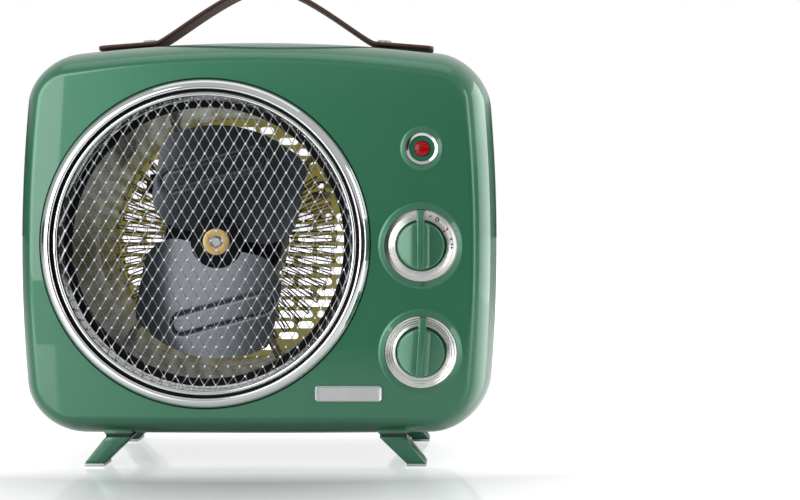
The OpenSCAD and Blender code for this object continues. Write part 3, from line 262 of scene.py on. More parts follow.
def linked(name, mesh, finish):
    """Links a mesh with one finish as an object."""
    mesh.materials.clear()
    mesh.materials.append(FINISHES[finish])
    piece = bpy.data.objects.new(name, mesh)
    bpy.context.scene.collection.objects.link(piece)
    return piece


def ridden(piece, node, body):
    """Hides the fixed part that a piece stands for, and rides the piece on a body."""
    if node:
        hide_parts(node)
    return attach(piece, body)


def weld(mesh):
    """Merges points that meet and turns every face outwards."""
    made = bmesh.new()
    made.from_mesh(mesh)
    bmesh.ops.remove_doubles(made, verts=made.verts, dist=2e-6)
    bmesh.ops.dissolve_degenerate(made, edges=made.edges, dist=1e-7)
    bmesh.ops.recalc_face_normals(made, faces=made.faces)
    made.to_mesh(mesh)
    made.free()


def shade(mesh, sharp):
    """Smooth shading, with edges that turn more than an angle in degrees kept sharp."""
    mesh.polygons.foreach_set("use_smooth", np.ones(len(mesh.polygons), bool))
    mesh.set_sharp_from_angle(angle=math.radians(sharp))
    mesh.update()


def eased(node, finish, width, segments):
    """A copy of a fixed part with its sharp edges rounded by a live bevel."""
    source = frame["nodes"][node]
    mesh = source.data.copy()
    mesh.name = node + "_eased"
    weld(mesh)
    made = bmesh.new()
    made.from_mesh(mesh)
    bmesh.ops.dissolve_limit(
        made, angle_limit=math.radians(1), verts=made.verts, edges=made.edges
    )
    made.to_mesh(mesh)
    made.free()
    shade(mesh, 30)
    piece = linked(node + "_eased", mesh, finish)
    bevel = piece.modifiers.new("rounded", "BEVEL")
    bevel.width = width * MM
    bevel.segments = segments
    bevel.limit_method = "ANGLE"
    bevel.angle_limit = math.radians(35)
    bevel.harden_normals = True
    return ridden(piece, node, source["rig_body"])


def dress(nodes, finish):
    """Gives fixed parts that stay in view their finish."""
    for node in nodes:
        part = frame["nodes"][node]
        if part.material_slots:
            for held in part.material_slots:
                held.material = FINISHES[finish]
        else:
            part.data.materials.append(FINISHES[finish])


def round_angles(count):
    """Angles evenly round a circle."""
    return np.linspace(0, 2 * np.pi, count, endpoint=False)


def circle_rise(r, x):
    """Height of a circle of radius r at x from its middle, level where x is below 0."""
    return np.sqrt(np.maximum(r**2 - np.maximum(x, 0) ** 2, 0))


def arc(cx, cy, r, start, end, steps):
    """Points on a circular arc, angles in degrees."""
    a = np.radians(np.linspace(start, end, steps + 1))
    return np.stack([cx + r * np.cos(a), cy + r * np.sin(a)], -1)


def rounded(corners, radius, steps=4):
    """A closed outline whose corners are replaced by quadratic curves that start radius away."""
    corners = np.asarray(corners, float)
    t = np.linspace(0, 1, steps + 1)[:, None]
    out = []
    for k, p in enumerate(corners):
        a, b = corners[k - 1], corners[(k + 1) % len(corners)]
        reach = min(radius, 0.49 * np.linalg.norm(a - p), 0.49 * np.linalg.norm(b - p))
        pa = p + (a - p) / np.linalg.norm(a - p) * reach
        pb = p + (b - p) / np.linalg.norm(b - p) * reach
        out.append((1 - t) ** 2 * pa + 2 * t * (1 - t) * p + t**2 * pb)
    return np.concatenate(out)


def revolved(profile, x, z, around=192, closed=True):
    """A profile of radius and depth turned once round an axis along the depth."""
    profile = np.asarray(profile, float)
    a = round_angles(around)[:, None]
    r, u = profile[None, :, 0], profile[None, :, 1]
    return sheet(place(x + r * np.cos(a), u + 0 * a, z + r * np.sin(a)), True, closed)


def turned(name, profile, spot, finish, node=None, body="housing", around=192, closed=True, **more):
    """One piece that is a single turned profile."""
    return solid(name, [revolved(profile, *spot, around, closed)], finish, node, body, **more)


def circle_loop(x, z, r, u, around=192):
    """World points of one circle at a depth."""
    a = round_angles(around)
    return place(x + r * np.cos(a), u, z + r * np.sin(a))


def capped(sections):
    """A loft through closed sections, its two ends drawn in to their middles."""
    first = np.broadcast_to(sections[0].mean(0), sections[0].shape)
    last = np.broadcast_to(sections[-1].mean(0), sections[-1].shape)
    rows = np.concatenate([first[None], sections, last[None]])
    return sheet(rows, False, True)


def unrolled(c):
    """Smooth step from 0 to 1."""
    c = np.clip(c, 0, 1)
    return c * c * (3 - 2 * c)


# Body outline


def outline(inset):
    """Rounded rectangle drawn in by an inset, its sides swollen by parabolas, as x and z."""
    a, b = BASE_A - inset, BASE_B - inset
    rt, rb = max(CORNER_TOP - inset, 2), max(CORNER_BOTTOM - inset, 2)
    line = lambda p, q, n: np.linspace(p, q, n, endpoint=False)
    turn = lambda cx, cy, r, s: arc(cx, cy, r, s, s + 90, 24)[:-1]
    p = np.concatenate(
        [
            line((a, rb - b), (a, b - rt), 30),
            turn(a - rt, b - rt, rt, 0),
            line((a - rt, b), (rt - a, b), 44),
            turn(rt - a, b - rt, rt, 90),
            line((-a, b - rt), (-a, rb - b), 30),
            turn(rb - a, rb - b, rb, 180),
            line((rb - a, -b), (a - rb, -b), 44),
            turn(a - rb, rb - b, rb, 270),
        ]
    )
    x, z = p[:, 0], p[:, 1]
    crown = np.where(z > 0, TOP_CROWN, BOTTOM_CROWN)
    return (
        x * (1 + SIDE_BULGE / a * (1 - (z / b) ** 2)),
        MID_Z + z * (1 + crown / b * (1 - (x / a) ** 2)),
    )


def skin_inset(u, t):
    """Inset of the skin at a depth, t under the surface: quarter ellipses meet at mid depth."""
    part = 1 - ((u - MID_D) / (MID_D - t)) ** 2
    return t + EDGE_IN * (1 - math.sqrt(max(0.0, part)))


def skin_ring(u, t=0.0):
    """World points of the skin's ring at a depth, t under the surface."""
    x, z = outline(skin_inset(u, t))
    return place(x, u, z)


def skin(first, last, t=0.0, steps=48):
    """Rings of the skin between two depths, even round the quarter ellipses."""
    half = MID_D - t
    ends = [math.acos(max(-1.0, min(1.0, (MID_D - u) / half))) for u in (first, last)]
    return [skin_ring(MID_D - half * math.cos(p), t) for p in np.linspace(*ends, steps)]


def flat_ring(inset, u):
    """World points of the outline at an inset, laid at any depth."""
    x, z = outline(inset)
    return place(x, u, z)


def lip(inner, cone_w, toe_w, slope, steps=20):
    """Pressed lip: a cone of one slope, then a toe whose slope falls as a squared cosine."""
    r = np.linspace(inner, inner + cone_w + toe_w, 6 * steps + 1)
    k = np.clip((r - inner - cone_w) / toe_w, 0, 1)
    fall = slope * np.cos(np.pi * k / 2) ** 2
    u = np.concatenate([[0], np.cumsum((fall[1:] + fall[:-1]) / 2 * np.diff(r))])
    return np.stack([r, u - u[-1]], -1)[::-6]


def boss(side, u0):
    """Block under the shell that a leg's pad meets, its edges eased."""
    w = LEG_TOP_W / 2 + 0.4
    cx = side * LEG_TOP_X
    base = rounded([(cx - w, u0), (cx + w, u0), (cx + w, u0 + LEG_D), (cx - w, u0 + LEG_D)], 0.8)
    levels = [(0.35, 18.0), (0.0, 18.4), (0.0, 22.9)]
    mid = np.array([cx, u0 + LEG_D / 2])
    rows = []
    for ease, z in levels:
        p = mid + (base - mid) * (1 - ease / w)
        rows.append(place(p[:, 0], p[:, 1], z))
    return capped(np.array(rows))


# Shader maths


class Link:
    """A shader socket that takes part in sums; each sum adds its Math node."""

    def __init__(self, owner, socket):
        self.owner, self.socket = owner, socket

    def maths(self, operation, *terms):
        settings = {"operation": operation}
        return self.owner.node("ShaderNodeMath", settings, dict(enumerate(terms)))

    def __add__(self, other):
        return self.maths("ADD", self, other)

    def __sub__(self, other):
        return self.maths("SUBTRACT", self, other)

    def __rsub__(self, other):
        return self.maths("SUBTRACT", other, self)

    def __mul__(self, other):
        return self.maths("MULTIPLY", self, other)

    def __truediv__(self, other):
        return self.maths("DIVIDE", self, other)

    __radd__, __rmul__ = __add__, __mul__

    def size(self):
        return self.maths("ABSOLUTE", self)

    def below(self, other):
        return self.maths("LESS_THAN", self, other)

    def most(self, other):
        return self.maths("MAXIMUM", self, other)


class NodeTree:
    """The nodes of a material or a world under construction."""

    def __init__(self, owner):
        owner.use_nodes = True
        self.nodes, self.links = owner.node_tree.nodes, owner.node_tree.links
        self.nodes.clear()

    def feed(self, socket, value):
        """Links a socket to what feeds it, or sets its value."""
        if isinstance(value, Link):
            self.links.new(value.socket, socket)
        else:
            socket.default_value = (*value[:3], 1) if socket.type == "RGBA" else value

    def node(self, kind, settings=None, inputs=None, out=0):
        """Adds a node: its settings first, then the values or links of its sockets."""
        made = self.nodes.new(kind)
        for key, value in (settings or {}).items():
            if key == "stops":
                ramp = made.color_ramp
                while len(ramp.elements) < len(value):
                    ramp.elements.new(0.5)
                for element, (spot, colour) in zip(ramp.elements, value):
                    element.position = spot
                    element.color = (*colour, 1)
            else:
                setattr(made, key, value)
        for key, value in (inputs or {}).items():
            self.feed(made.inputs[key], value)
        return Link(self, made.outputs[out])


class Finish(NodeTree):
    """A material under construction: one Principled shader and the nodes that vary it."""

    def __init__(self, name):
        self.material = bpy.data.materials.new(name)
        super().__init__(self.material)
        self.output = self.nodes.new("ShaderNodeOutputMaterial")
        self.shader = self.nodes.new("ShaderNodeBsdfPrincipled")
        self.links.new(self.shader.outputs[0], self.output.inputs[0])

    def where(self, scale=(1, 1, 1), turn=(0, 0, 0)):
        """Object coordinates, turned and scaled by a Mapping node."""
        spot = self.node("ShaderNodeTexCoord", out=3)
        inputs = {"Vector": spot, "Rotation": turn, "Scale": scale}
        return self.node("ShaderNodeMapping", inputs=inputs)

    def noise(self, scale, detail=3.0, rough=0.5, vector=None, distortion=0.0):
        inputs = {"Vector": vector or self.where(), "Scale": scale, "Detail": detail}
        inputs.update({"Roughness": rough, "Distortion": distortion})
        return self.node("ShaderNodeTexNoise", inputs=inputs)

    def mix(self, factor, first, second):
        """Colour mix of two colours or links."""
        inputs = {0: factor, 6: first, 7: second}
        return self.node("ShaderNodeMix", {"data_type": "RGBA"}, inputs, 2)

    def bump(self, height, strength, distance, normal=None):
        inputs = {"Height": height, "Strength": strength, "Distance": distance}
        if normal:
            inputs["Normal"] = normal
        return self.node("ShaderNodeBump", inputs=inputs)

    def done(self, **sockets):
        """Sets the Principled sockets, named with underscores for spaces."""
        for key, value in sockets.items():
            self.feed(self.shader.inputs[key.replace("_", " ")], value)
        return self.material


def linear(r, g, b):
    """Linear colour from 0 to 255 screen values."""
    curve = lambda v: v / 12.92 if v <= 0.04045 else ((v + 0.055) / 1.055) ** 2.4
    return tuple(curve(v / 255) for v in (r, g, b))


def shaded(colour, share):
    """A colour times a share."""
    return tuple(min(1.0, v * share) for v in colour[:3])


# Share of the green paint that shines like metal under its clear skin
METAL_SHARE = 0.45


def enamel(colour, name="green_enamel"):
    """Glossy paint with fine metal in it: faint tone drift, orange peel, a clear skin."""
    f = Finish(name)
    drift = f.noise(9.0, 3.0)
    peel = f.noise(420.0, 2.0)
    speck = f.noise(60.0, 4.0)
    base = f.mix(drift, shaded(colour, 0.93), shaded(colour, 1.07))
    return f.done(
        Base_Color=base,
        Metallic=METAL_SHARE,
        Specular_Tint=(0.4, 0.9, 0.65),
        Roughness=0.36 + 0.07 * speck,
        Normal=f.bump(peel, 0.02, 0.0004),
        Coat_Weight=1.0,
        Coat_Roughness=0.02,
        Coat_IOR=1.5,
    )


def toned(name, first, second, tone, rough, bump=None, stretch=(1, 1, 1), **sockets):
    """A plain finish: one noise moves its tone between two colours and adds to its roughness.

    tone is that noise's scale, detail and share of fine grain, and rough is a start and the
    noise's share. bump is a noise of its own, or None for the same one, a strength and a depth.
    """
    f = Finish(name)
    drift = f.noise(*tone, vector=f.where(stretch))
    if bump:
        grain, strength, depth = bump
        sockets["Normal"] = f.bump(f.noise(*grain) if grain else drift, strength, depth)
    start, share = rough
    base = f.mix(drift, first, second)
    return f.done(Base_Color=base, Roughness=start + share * drift, **sockets)


def moulding(colour, name, rough=0.25, coat=0.3, metal=0.0):
    """Moulded plastic, plain or painted: fine grain, slight tone drift."""
    pale, grain = shaded(colour, 1.08), ((2600.0, 2.0), 0.04, 0.0001)
    coats = {"Coat_Weight": coat, "Coat_Roughness": 0.1, "Coat_IOR": 1.5}
    tone = (40.0, 3.0)
    return toned(name, shaded(colour, 0.92), pale, tone, (rough, 0.08), grain, Metallic=metal, **coats)


def painted(colour, name, rough=0.42, ior=1.45):
    """Stoved paint on sheet or castings: fine stipple."""
    pale, grain = shaded(colour, 1.25), ((900.0, 2.0), 0.12, 0.0002)
    return toned(name, shaded(colour, 0.85), pale, (25.0, 5.0), (rough, 0.1), grain, IOR=ior)


def brushed(colour, name, along=(1, 1, 60), rough=0.26):
    """Brushed metal: long fine scratches in one direction."""
    pale, lines = shaded(colour, 1.1), (None, 0.06, 0.0001)
    tone = (60.0, 4.0)
    return toned(name, shaded(colour, 0.88), pale, tone, (rough, 0.14), lines, along, Metallic=1.0)


def polished(name="polished_chrome"):
    """Chrome plating: bright, with faint haze and hairline wipe marks."""
    f = Finish(name)
    haze = f.noise(22.0, 5.0)
    wipe = f.noise(30.0, 3.0, vector=f.where(scale=(1, 1, 30), turn=(0.3, 0.2, 0.5)))
    return f.done(
        Base_Color=f.mix(haze, (0.72, 0.73, 0.73), (0.84, 0.85, 0.85)),
        Metallic=1.0,
        Roughness=0.035 + 0.05 * haze * wipe,
        Normal=f.bump(wipe, 0.01, 0.0001),
    )


def sheet_metal(colour, name, rough=0.3, spangle=60.0, contrast=0.12, metallic=1.0):
    """Plain or plated sheet: crystal spangle over rolling marks."""
    f = Finish(name)
    cells = f.node(
        "ShaderNodeTexVoronoi",
        inputs={"Vector": f.where(), "Scale": spangle, "Randomness": 1.0},
        out=1,
    )
    tone = f.node("ShaderNodeRGBToBW", inputs={0: cells})
    roll = f.noise(80.0, 4.0, vector=f.where(scale=(1, 1, 14)))
    share = 0.6 * tone + 0.4 * roll
    return f.done(
        Base_Color=f.mix(share, shaded(colour, 1 - contrast), shaded(colour, 1 + contrast)),
        Metallic=metallic,
        Roughness=rough + 0.12 * roll,
        Normal=f.bump(roll, 0.05, 0.0002),
    )


def passivated_painted_glow(dark, pale, name="yellow_passivated_painted_glow"):
    """Yellow passivated zinc: olive and straw clouds, a weak sheen, and a painted glow: a gold emission
    stands in for light on it.
    """
    f = Finish(name)
    cloud = f.noise(34.0, 5.0, 0.6, distortion=0.4)
    fine = f.noise(380.0, 3.0)
    ramp = f.node(
        "ShaderNodeValToRGB",
        {"stops": [(0.32, dark), (0.55, shaded(dark, 1.6)), (0.75, pale)]},
        {0: cloud},
    )
    return f.done(
        Base_Color=ramp,
        # Painted glow: this gold emission lights the plate, terminal box and standoffs, though they are
        # no lamp.
        Emission_Color=f.mix(cloud, (0.08, 0.068, 0.012), (0.22, 0.19, 0.065)),
        Emission_Strength=1.0,
        Metallic=0.3,
        Roughness=0.30 + 0.18 * fine,
        Normal=f.bump(fine, 0.08, 0.0002),
    )


def hide(colour, name="brown_leather"):
    """Smooth dyed leather: pores, tone drift, a pressed line along each edge, darker cut edges."""
    f = Finish(name)
    across = f.node("ShaderNodeSeparateXYZ", inputs={0: f.node("ShaderNodeUVMap", out=0)}, out=1)
    off_middle = (across - 0.5).size()
    crease = ((off_middle - 0.41).size() * -60.0 + 1.0).most(0.0)
    cut = 1.0 - off_middle.below(0.478)
    pores = f.node(
        "ShaderNodeTexVoronoi",
        {"feature": "DISTANCE_TO_EDGE"},
        {"Vector": f.where(), "Scale": 900.0},
    )
    drift = f.noise(30.0, 4.0)
    fine = f.noise(700.0, 4.0)
    base = f.mix(drift, shaded(colour, 0.72), shaded(colour, 1.2))
    base = f.mix(crease * 0.55, base, shaded(colour, 0.35))
    base = f.mix(cut * 0.75, base, shaded(colour, 0.45))
    normal = f.bump(pores + 0.4 * fine, 0.25, 0.00012)
    normal = f.bump(crease, 0.5, 0.0004, normal=normal)
    normal.socket.node.invert = True
    return f.done(Base_Color=base, Roughness=0.5 + 0.16 * fine, Normal=normal)


def make_finishes(colours):
    """Every finish of the heater, once."""
    green = tuple(colours.enamel)
    gold = linear(146, 134, 66)
    straw = linear(186, 178, 122)
    red = linear(162, 8, 12)
    FINISHES.update(
        enamel=enamel(green),
        knob=moulding(tuple(colours.knob), "green_moulding", 0.34, 0.8, METAL_SHARE),
        chrome=polished(),
        dial=brushed((0.9, 0.89, 0.87), "turned_dial", (1, 1, 1), 0.08),
        rubber=toned(
            "black_rubber", (0.012, 0.012, 0.013), (0.03, 0.03, 0.032), (70.0, 5.0), (0.62, 0.15),
            ((1800.0, 2.0), 0.15, 0.0001),
        ),
        # The mesh is one metal in two copies: a darker one on the strands as painted shade, and a pale
        # one on the knots as painted highlight.
        mesh=brushed((0.38, 0.39, 0.41), "mesh_strands_painted_shade", (1, 1, 8), 0.22),
        knots=brushed((0.88, 0.89, 0.9), "mesh_knots_painted_highlight", (1, 1, 8), 0.3),
        black=painted((0.003, 0.003, 0.005), "black_stoved", ior=1.2),
        galvanised=sheet_metal((0.3, 0.33, 0.32), "galvanised_sheet", 0.2, 45.0, 0.1),
        gold=passivated_painted_glow(gold, straw),
        steel=brushed((0.5, 0.51, 0.53), "plain_steel"),
        fan=sheet_metal((0.09, 0.096, 0.108), "fan_sheet", 0.16, 25.0, 0.04, 0.85),
        brass=brushed((0.6, 0.42, 0.18), "turned_brass", (1, 40, 1)),
        copper=brushed((0.42, 0.16, 0.06), "copper_wire", (1, 60, 1), 0.3),
        mica=toned(
            "mica_sheet", (0.16, 0.12, 0.08), (0.38, 0.33, 0.26), (240.0, 4.0, 0.6), (0.38, 0.2),
            (None, 0.2, 0.0002), (1, 0.3, 1),
        ),
        ribbon=toned(
            "heater_ribbon", (0.035, 0.032, 0.034), (0.16, 0.13, 0.11), (90.0, 4.0), (0.34, 0.2),
            Metallic=0.9,
        ),
        plastic=moulding((0.02, 0.02, 0.022), "black_moulding", 0.4, 0.0),
        cream=moulding((0.68, 0.64, 0.54), "cream_moulding", 0.4, 0.0),
        lens=toned(
            "clear_red", shaded(red, 0.8), shaded(red, 1.15), (120.0, 2.0), (0.08, 0.05),
            IOR=1.3, Coat_Weight=0.15, Coat_Roughness=0.02,
        ),
        silver=brushed((0.58, 0.58, 0.6), "silver_plate", (60, 1, 1), 0.3),
        leather=hide(tuple(colours.leather)),
        mark=painted((0.03, 0.03, 0.03), "dial_black", 0.5),
        red_mark=painted((0.45, 0.03, 0.03), "dial_red", 0.5),
    )


# Operators


class HeaterStep(bpy.types.Operator):
    """Base of the heater's building steps"""

    bl_options = {"REGISTER", "UNDO"}

    def execute(self, context):
        self.build(context.scene.fan_heater)
        return {"FINISHED"}


class HEATER_OT_finishes(bpy.types.Operator):
    """Make every finish from the chosen colours"""

    bl_idname = "heater.finishes"
    bl_label = "Finishes"

    def execute(self, context):
        make_finishes(context.scene.fan_heater)
        return {"FINISHED"}


class HEATER_OT_front_shell(HeaterStep):
    """Front shell: skin, flat face with its round opening and pressed dishes, inner skin"""

    bl_idname = "heater.front_shell"
    bl_label = "Front shell"

    def build(self, sizes):
        seam, band, ease = SEAM_AT - SEAM_GAP, 0.1, 0.35
        outer = skin(0, seam - 0.35)
        outer += [skin_ring(seam - 0.12, 0.1), skin_ring(seam, 0.35), skin_ring(seam, WALL)]
        inner = skin(seam - 0.4, WALL, WALL, 30)
        border, mouth = flat_ring(EDGE_IN + band, 0), APERTURE_R + ease
        edge = [(mouth + band, 0), *arc(mouth, ease, ease, -90, -180, 4), (APERTURE_R, WALL)]
        sheets = [
            sheet(np.array(outer + inner), False, True),
            sheet(np.array([border, flat_ring(EDGE_IN, 0)]), False, True),
            revolved(edge, *RING, 256, closed=False),
        ]
        outer_loops = [border, circle_loop(*RING, mouth + band, 0, 256)]
        inner_loops = [flat_ring(EDGE_IN + WALL, WALL), circle_loop(*RING, APERTURE_R, WALL, 256)]
        dial_lip = lip(DIAL_R + 0.2, *LIP)
        for spot, r, depth, raised, hole in (
            (SELECTOR, WELL_R, WELL_D, dial_lip, 5.2),
            (THERMOSTAT, WELL_R, WELL_D, dial_lip, 5.2),
            (PILOT, 10.8, 2.0, lip(9.15, *PILOT_LIP), 4.3),
        ):
            toe, (crest, u) = raised[0][0] + band, raised[-1]
            bore = crest - 0.16
            profile = [(toe, 0), *raised, (crest - 0.12, u + 0.05), (bore, u + 0.3), (bore, depth)]
            profile += [(hole, depth), (hole, depth + WALL), (r + WALL, depth + WALL)]
            sheets.append(revolved(profile + [(r + WALL, WALL)], *spot, closed=False))
            outer_loops.append(circle_loop(*spot, toe, 0))
            inner_loops.append(circle_loop(*spot, r + WALL, WALL))
        sheets += [panel(outer_loops), panel(inner_loops), boss(-1, LEG_AT), boss(1, LEG_AT)]
        solid("front_body", sheets, "enamel", "front_shell")


class HEATER_OT_rear_shell(HeaterStep):
    """Rear shell: skin, flat back with its round opening, rim and seat, inner skin"""

    bl_idname = "heater.rear_shell"
    bl_label = "Rear shell"

    def build(self, sizes):
        seam, band, ease, deep = SEAM_AT + SEAM_GAP, 0.8, 1.4, BODY_D - WALL
        outer = [skin_ring(seam, WALL), skin_ring(seam, 0.35), skin_ring(seam + 0.12, 0.1)]
        outer += skin(seam + 0.35, BODY_D)
        inner = skin(deep, seam + 0.4, WALL, 30) + [skin_ring(seam, WALL)]
        border, mouth = flat_ring(EDGE_IN + band, BODY_D), INTAKE_R + ease
        rim = [(mouth + band, BODY_D), *arc(mouth, BODY_D - ease, ease, 90, 180, 8)]
        rim += [(INTAKE_R, PLATE_AT), (SEAT_R, PLATE_AT), (SEAT_R, PLATE_AT - WALL)]
        rim += [(INTAKE_R + WALL, PLATE_AT - WALL), (INTAKE_R + WALL, deep)]
        sheets = [
            sheet(np.array(outer), False, True),
            sheet(np.array(inner), False, True),
            sheet(np.array([flat_ring(EDGE_IN, BODY_D), border]), False, True),
            revolved(rim, *RING, 256, closed=False),
            panel([border, circle_loop(*RING, mouth + band, BODY_D, 256)]),
            panel([flat_ring(EDGE_IN + WALL, deep), circle_loop(*RING, INTAKE_R + WALL, deep, 256)]),
        ]
        sheets += [boss(side, REAR_LEG_AT) for side in (-1, 1)]
        solid("rear_body", sheets, "enamel", "rear_shell")
        dress(["seam_screws"], "chrome")


class HEATER_OT_air_ring(HeaterStep):
    """Chrome bezel, black groove, a thin black ring outside the bezel as painted shadow, chrome lip and
    the collar behind
    """

    bl_idname = "heater.air_ring"
    bl_label = "Air ring"

    def build(self, sizes):
        # Crest a fifth of the way out: a quarter ellipse inside it, and outside it a flank whose
        # height falls as a cosine to the power 1.7 while its width grows as a sine
        k = np.radians(np.linspace(0, 90, 13))[:, None]
        rise = np.hstack([0.2 - 0.2 * np.cos(k), 0.76 + 0.24 * np.sin(k)])
        k = np.radians(np.linspace(0, 90, 25))[1:, None]
        flank = np.hstack([0.2 + 0.8 * np.sin(k), np.cos(k) ** 1.7])
        share = np.concatenate([[(0.0, 0.0)], rise, flank])
        bezel = share * [BEZEL_W, -BEZEL_PROUD] + [BEZEL_IN_R, 0]
        turned("bezel_chrome", bezel, RING, "chrome", "bezel_ring", around=320)
        # Two black rings: the gasket in the groove, and a thin bead just outside the bezel that is
        # painted shadow for the dark contact line along its edge.
        rings = []
        for inner, outer, proud, ease in (
            (APERTURE_R + 0.02, BEZEL_IN_R - 0.02, 0.5, 0.15),
            (BEZEL_R - 0.4, BEZEL_R + 0.55, 0.12, 0.05),
        ):
            ring = [(inner, 0.0), (outer, 0.0), (outer, -proud), (inner, -proud)]
            rings.append(revolved(rounded(ring, ease), *RING, 256))
        solid("gasket_and_painted_shadow_ring", rings, "black", "groove_gasket")
        nose = (LIP_R - LIP_IN_R) / 2
        rim = [*arc(LIP_IN_R + nose, nose - 2.4, nose, 0, -180, 20), (LIP_IN_R, 5.8)]
        rim += [(LIP_IN_R - 1.8, 5.8), (LIP_IN_R - 1.8, 10.0), (LIP_R, 10.0), (LIP_R, 3.0)]
        rim += [(LIP_R + 3.4, 3.0), (LIP_R + 3.4, 1.6), (LIP_R, 1.6)]
        turned("lip_chrome", rim, RING, "chrome", "lip_ring", around=320)
        dress(["duct_collar"], "black")
        dress(["collar_nuts"], "steel")


class HEATER_OT_mesh(HeaterStep):
    """Expanded metal: slanted strands between doubled nodes, dished up to the lip at the rim"""

    bl_idname = "heater.mesh"
    bl_label = "Expanded metal"

    def build(self, sizes):
        reach = DISH_FLAT_R + DISH_BEND_R * DISH_TURN
        cols, rows = int(reach / MESH_X) + 2, int(reach / MESH_Z) + 2
        i, j = np.meshgrid(np.arange(-cols, cols + 1), np.arange(-rows, rows + 1))
        i, j = i.ravel(), j.ravel()
        keep = (i + j) % 2 == 1
        shift = np.array([sizes.mesh_shift_x, sizes.mesh_shift_z])
        spots = np.stack([i[keep] * MESH_X, j[keep] * MESH_Z], -1) + shift
        start = np.concatenate([spots, spots])
        turn = np.repeat([1.0, -1.0], len(start) // 2)
        step = np.stack([turn * MESH_X, np.full(len(start), MESH_Z)], -1)
        # The part of each strand that lies inside the rim: roots of a quadratic in its length share
        qa = (step**2).sum(1)
        qb = 2 * (start * step).sum(1)
        qc = (start**2).sum(1) - reach**2
        root = np.sqrt(np.maximum(qb**2 - 4 * qa * qc, 0))
        t0 = np.clip((-qb - root) / (2 * qa), 0, 1)
        t1 = np.clip((-qb + root) / (2 * qa), 0, 1)
        ok = (qb**2 > 4 * qa * qc) & (t1 - t0 > 0.02)
        start, step, turn, t0, t1 = (v[ok] for v in (start, step, turn, t0, t1))
        # Centre lines with a slight S, so that strands run side by side into each node
        t = np.linspace(0, 1, 9)[None, :]
        share = t0[:, None] + (t1 - t0)[:, None] * t
        lean = STRAND_LEAN * np.cos(np.pi * share) * turn[:, None]
        px = start[:, :1] + step[:, :1] * unrolled_share(share) + lean
        pz = start[:, 1:] + step[:, 1:] * share
        # Cross-section: a thin ribbon slanted out of the sheet, four corners
        half_w, half_t = sizes.strand_w / 2, sizes.strand_t / 2
        along = step / np.linalg.norm(step, axis=1)[:, None]
        side = np.stack([along[:, 1], -along[:, 0]], -1)
        corner_w = np.array([-1, 1, 1, -1]) * half_w
        corner_h = np.array([-1, -1, 1, 1]) * half_t
        tilt = STRAND_TILT * turn[:, None]
        w = corner_w[None] + 0 * tilt
        h = corner_h[None] + tilt * corner_w[None]
        x = px[:, :, None] + side[:, 0, None, None] * w[:, None, :]
        z = pz[:, :, None] + side[:, 1, None, None] * w[:, None, :]
        lift = np.broadcast_to(h[:, None, :], x.shape)
        pts = self.dished(x, z, lift)
        count, rings = pts.shape[:2]
        base = np.arange(count)[:, None] * rings * 4
        quads = grid_faces(rings, 4, False, True)
        faces = (base[:, :, None] + quads[None]).reshape(-1, 4)
        ends = np.array([[3, 2, 1, 0], [0, 1, 2, 3]]) + np.array([[0], [(rings - 1) * 4]])
        faces = np.concatenate([faces, (base[:, :, None] + ends[None]).reshape(-1, 4)])
        strands = [(pts.reshape(-1, 3), faces)]
        solid("expanded_mesh", strands, "mesh", "grille_mesh", sharp=40)
        knots = self.pillows(spots[np.hypot(spots[:, 0], spots[:, 1]) < reach - 0.4])
        # The knots take the pale copy of the mesh's metal: painted highlight for their glints.
        solid("mesh_knots", [knots], "knots", slot="mesh_wire", sharp=60)

    def pillows(self, mid):
        """Small pillows where strands meet, higher than they are wide."""
        a = round_angles(8)[None, None, :]
        b = np.radians([-90, -40, 0, 40, 90])[None, :, None]
        x = mid[:, 0, None, None] + 0.58 * np.cos(b) * np.cos(a)
        z = mid[:, 1, None, None] + 0.8 * np.cos(b) * np.sin(a)
        pts = self.dished(x, z, 0.5 * np.sin(b) + 0 * x)
        base = np.arange(len(mid))[:, None, None] * 40
        return pts.reshape(-1, 3), (base + grid_faces(5, 8, False, True)[None]).reshape(-1, 4)

    def dished(self, x, z, lift):
        """Lays a flat sheet in a dish whose rim follows an arc towards the front."""
        rho = np.hypot(x, z)
        a = np.maximum(rho - DISH_FLAT_R, 0) / DISH_BEND_R
        r = np.minimum(rho, DISH_FLAT_R) + (DISH_BEND_R - lift) * np.sin(a)
        u = DISH_AT - DISH_BEND_R * (1 - np.cos(a)) + lift * np.cos(a)
        scale = r / np.maximum(rho, 1e-6)
        return place(RING_X + x * scale, u, RING_Z + z * scale)


def unrolled_share(t):
    """A share that runs a little slower at both ends, for strands that part late."""
    return t - 0.06 * np.sin(2 * np.pi * t)


class HEATER_OT_air_duct(HeaterStep):
    """Galvanised duct behind the collar"""

    bl_idname = "heater.air_duct"
    bl_label = "Air duct"

    def build(self, sizes):
        front, back = depths("air_duct")
        wide, out = DUCT_R + 7.2, DUCT_R + 1.2
        duct = [(DUCT_R, front + 0.3), (DUCT_R + 0.3, front), (wide, front), (wide, front + 1.2)]
        duct += [(out, front + 1.2), (out, back), (DUCT_R, back)]
        duct += [(DUCT_R, back - 52.0), (DUCT_R - 0.35, back - 53.0), (DUCT_R, back - 54.0)]
        turned("duct_sheet", duct, RING, "galvanised", "air_duct", around=256)


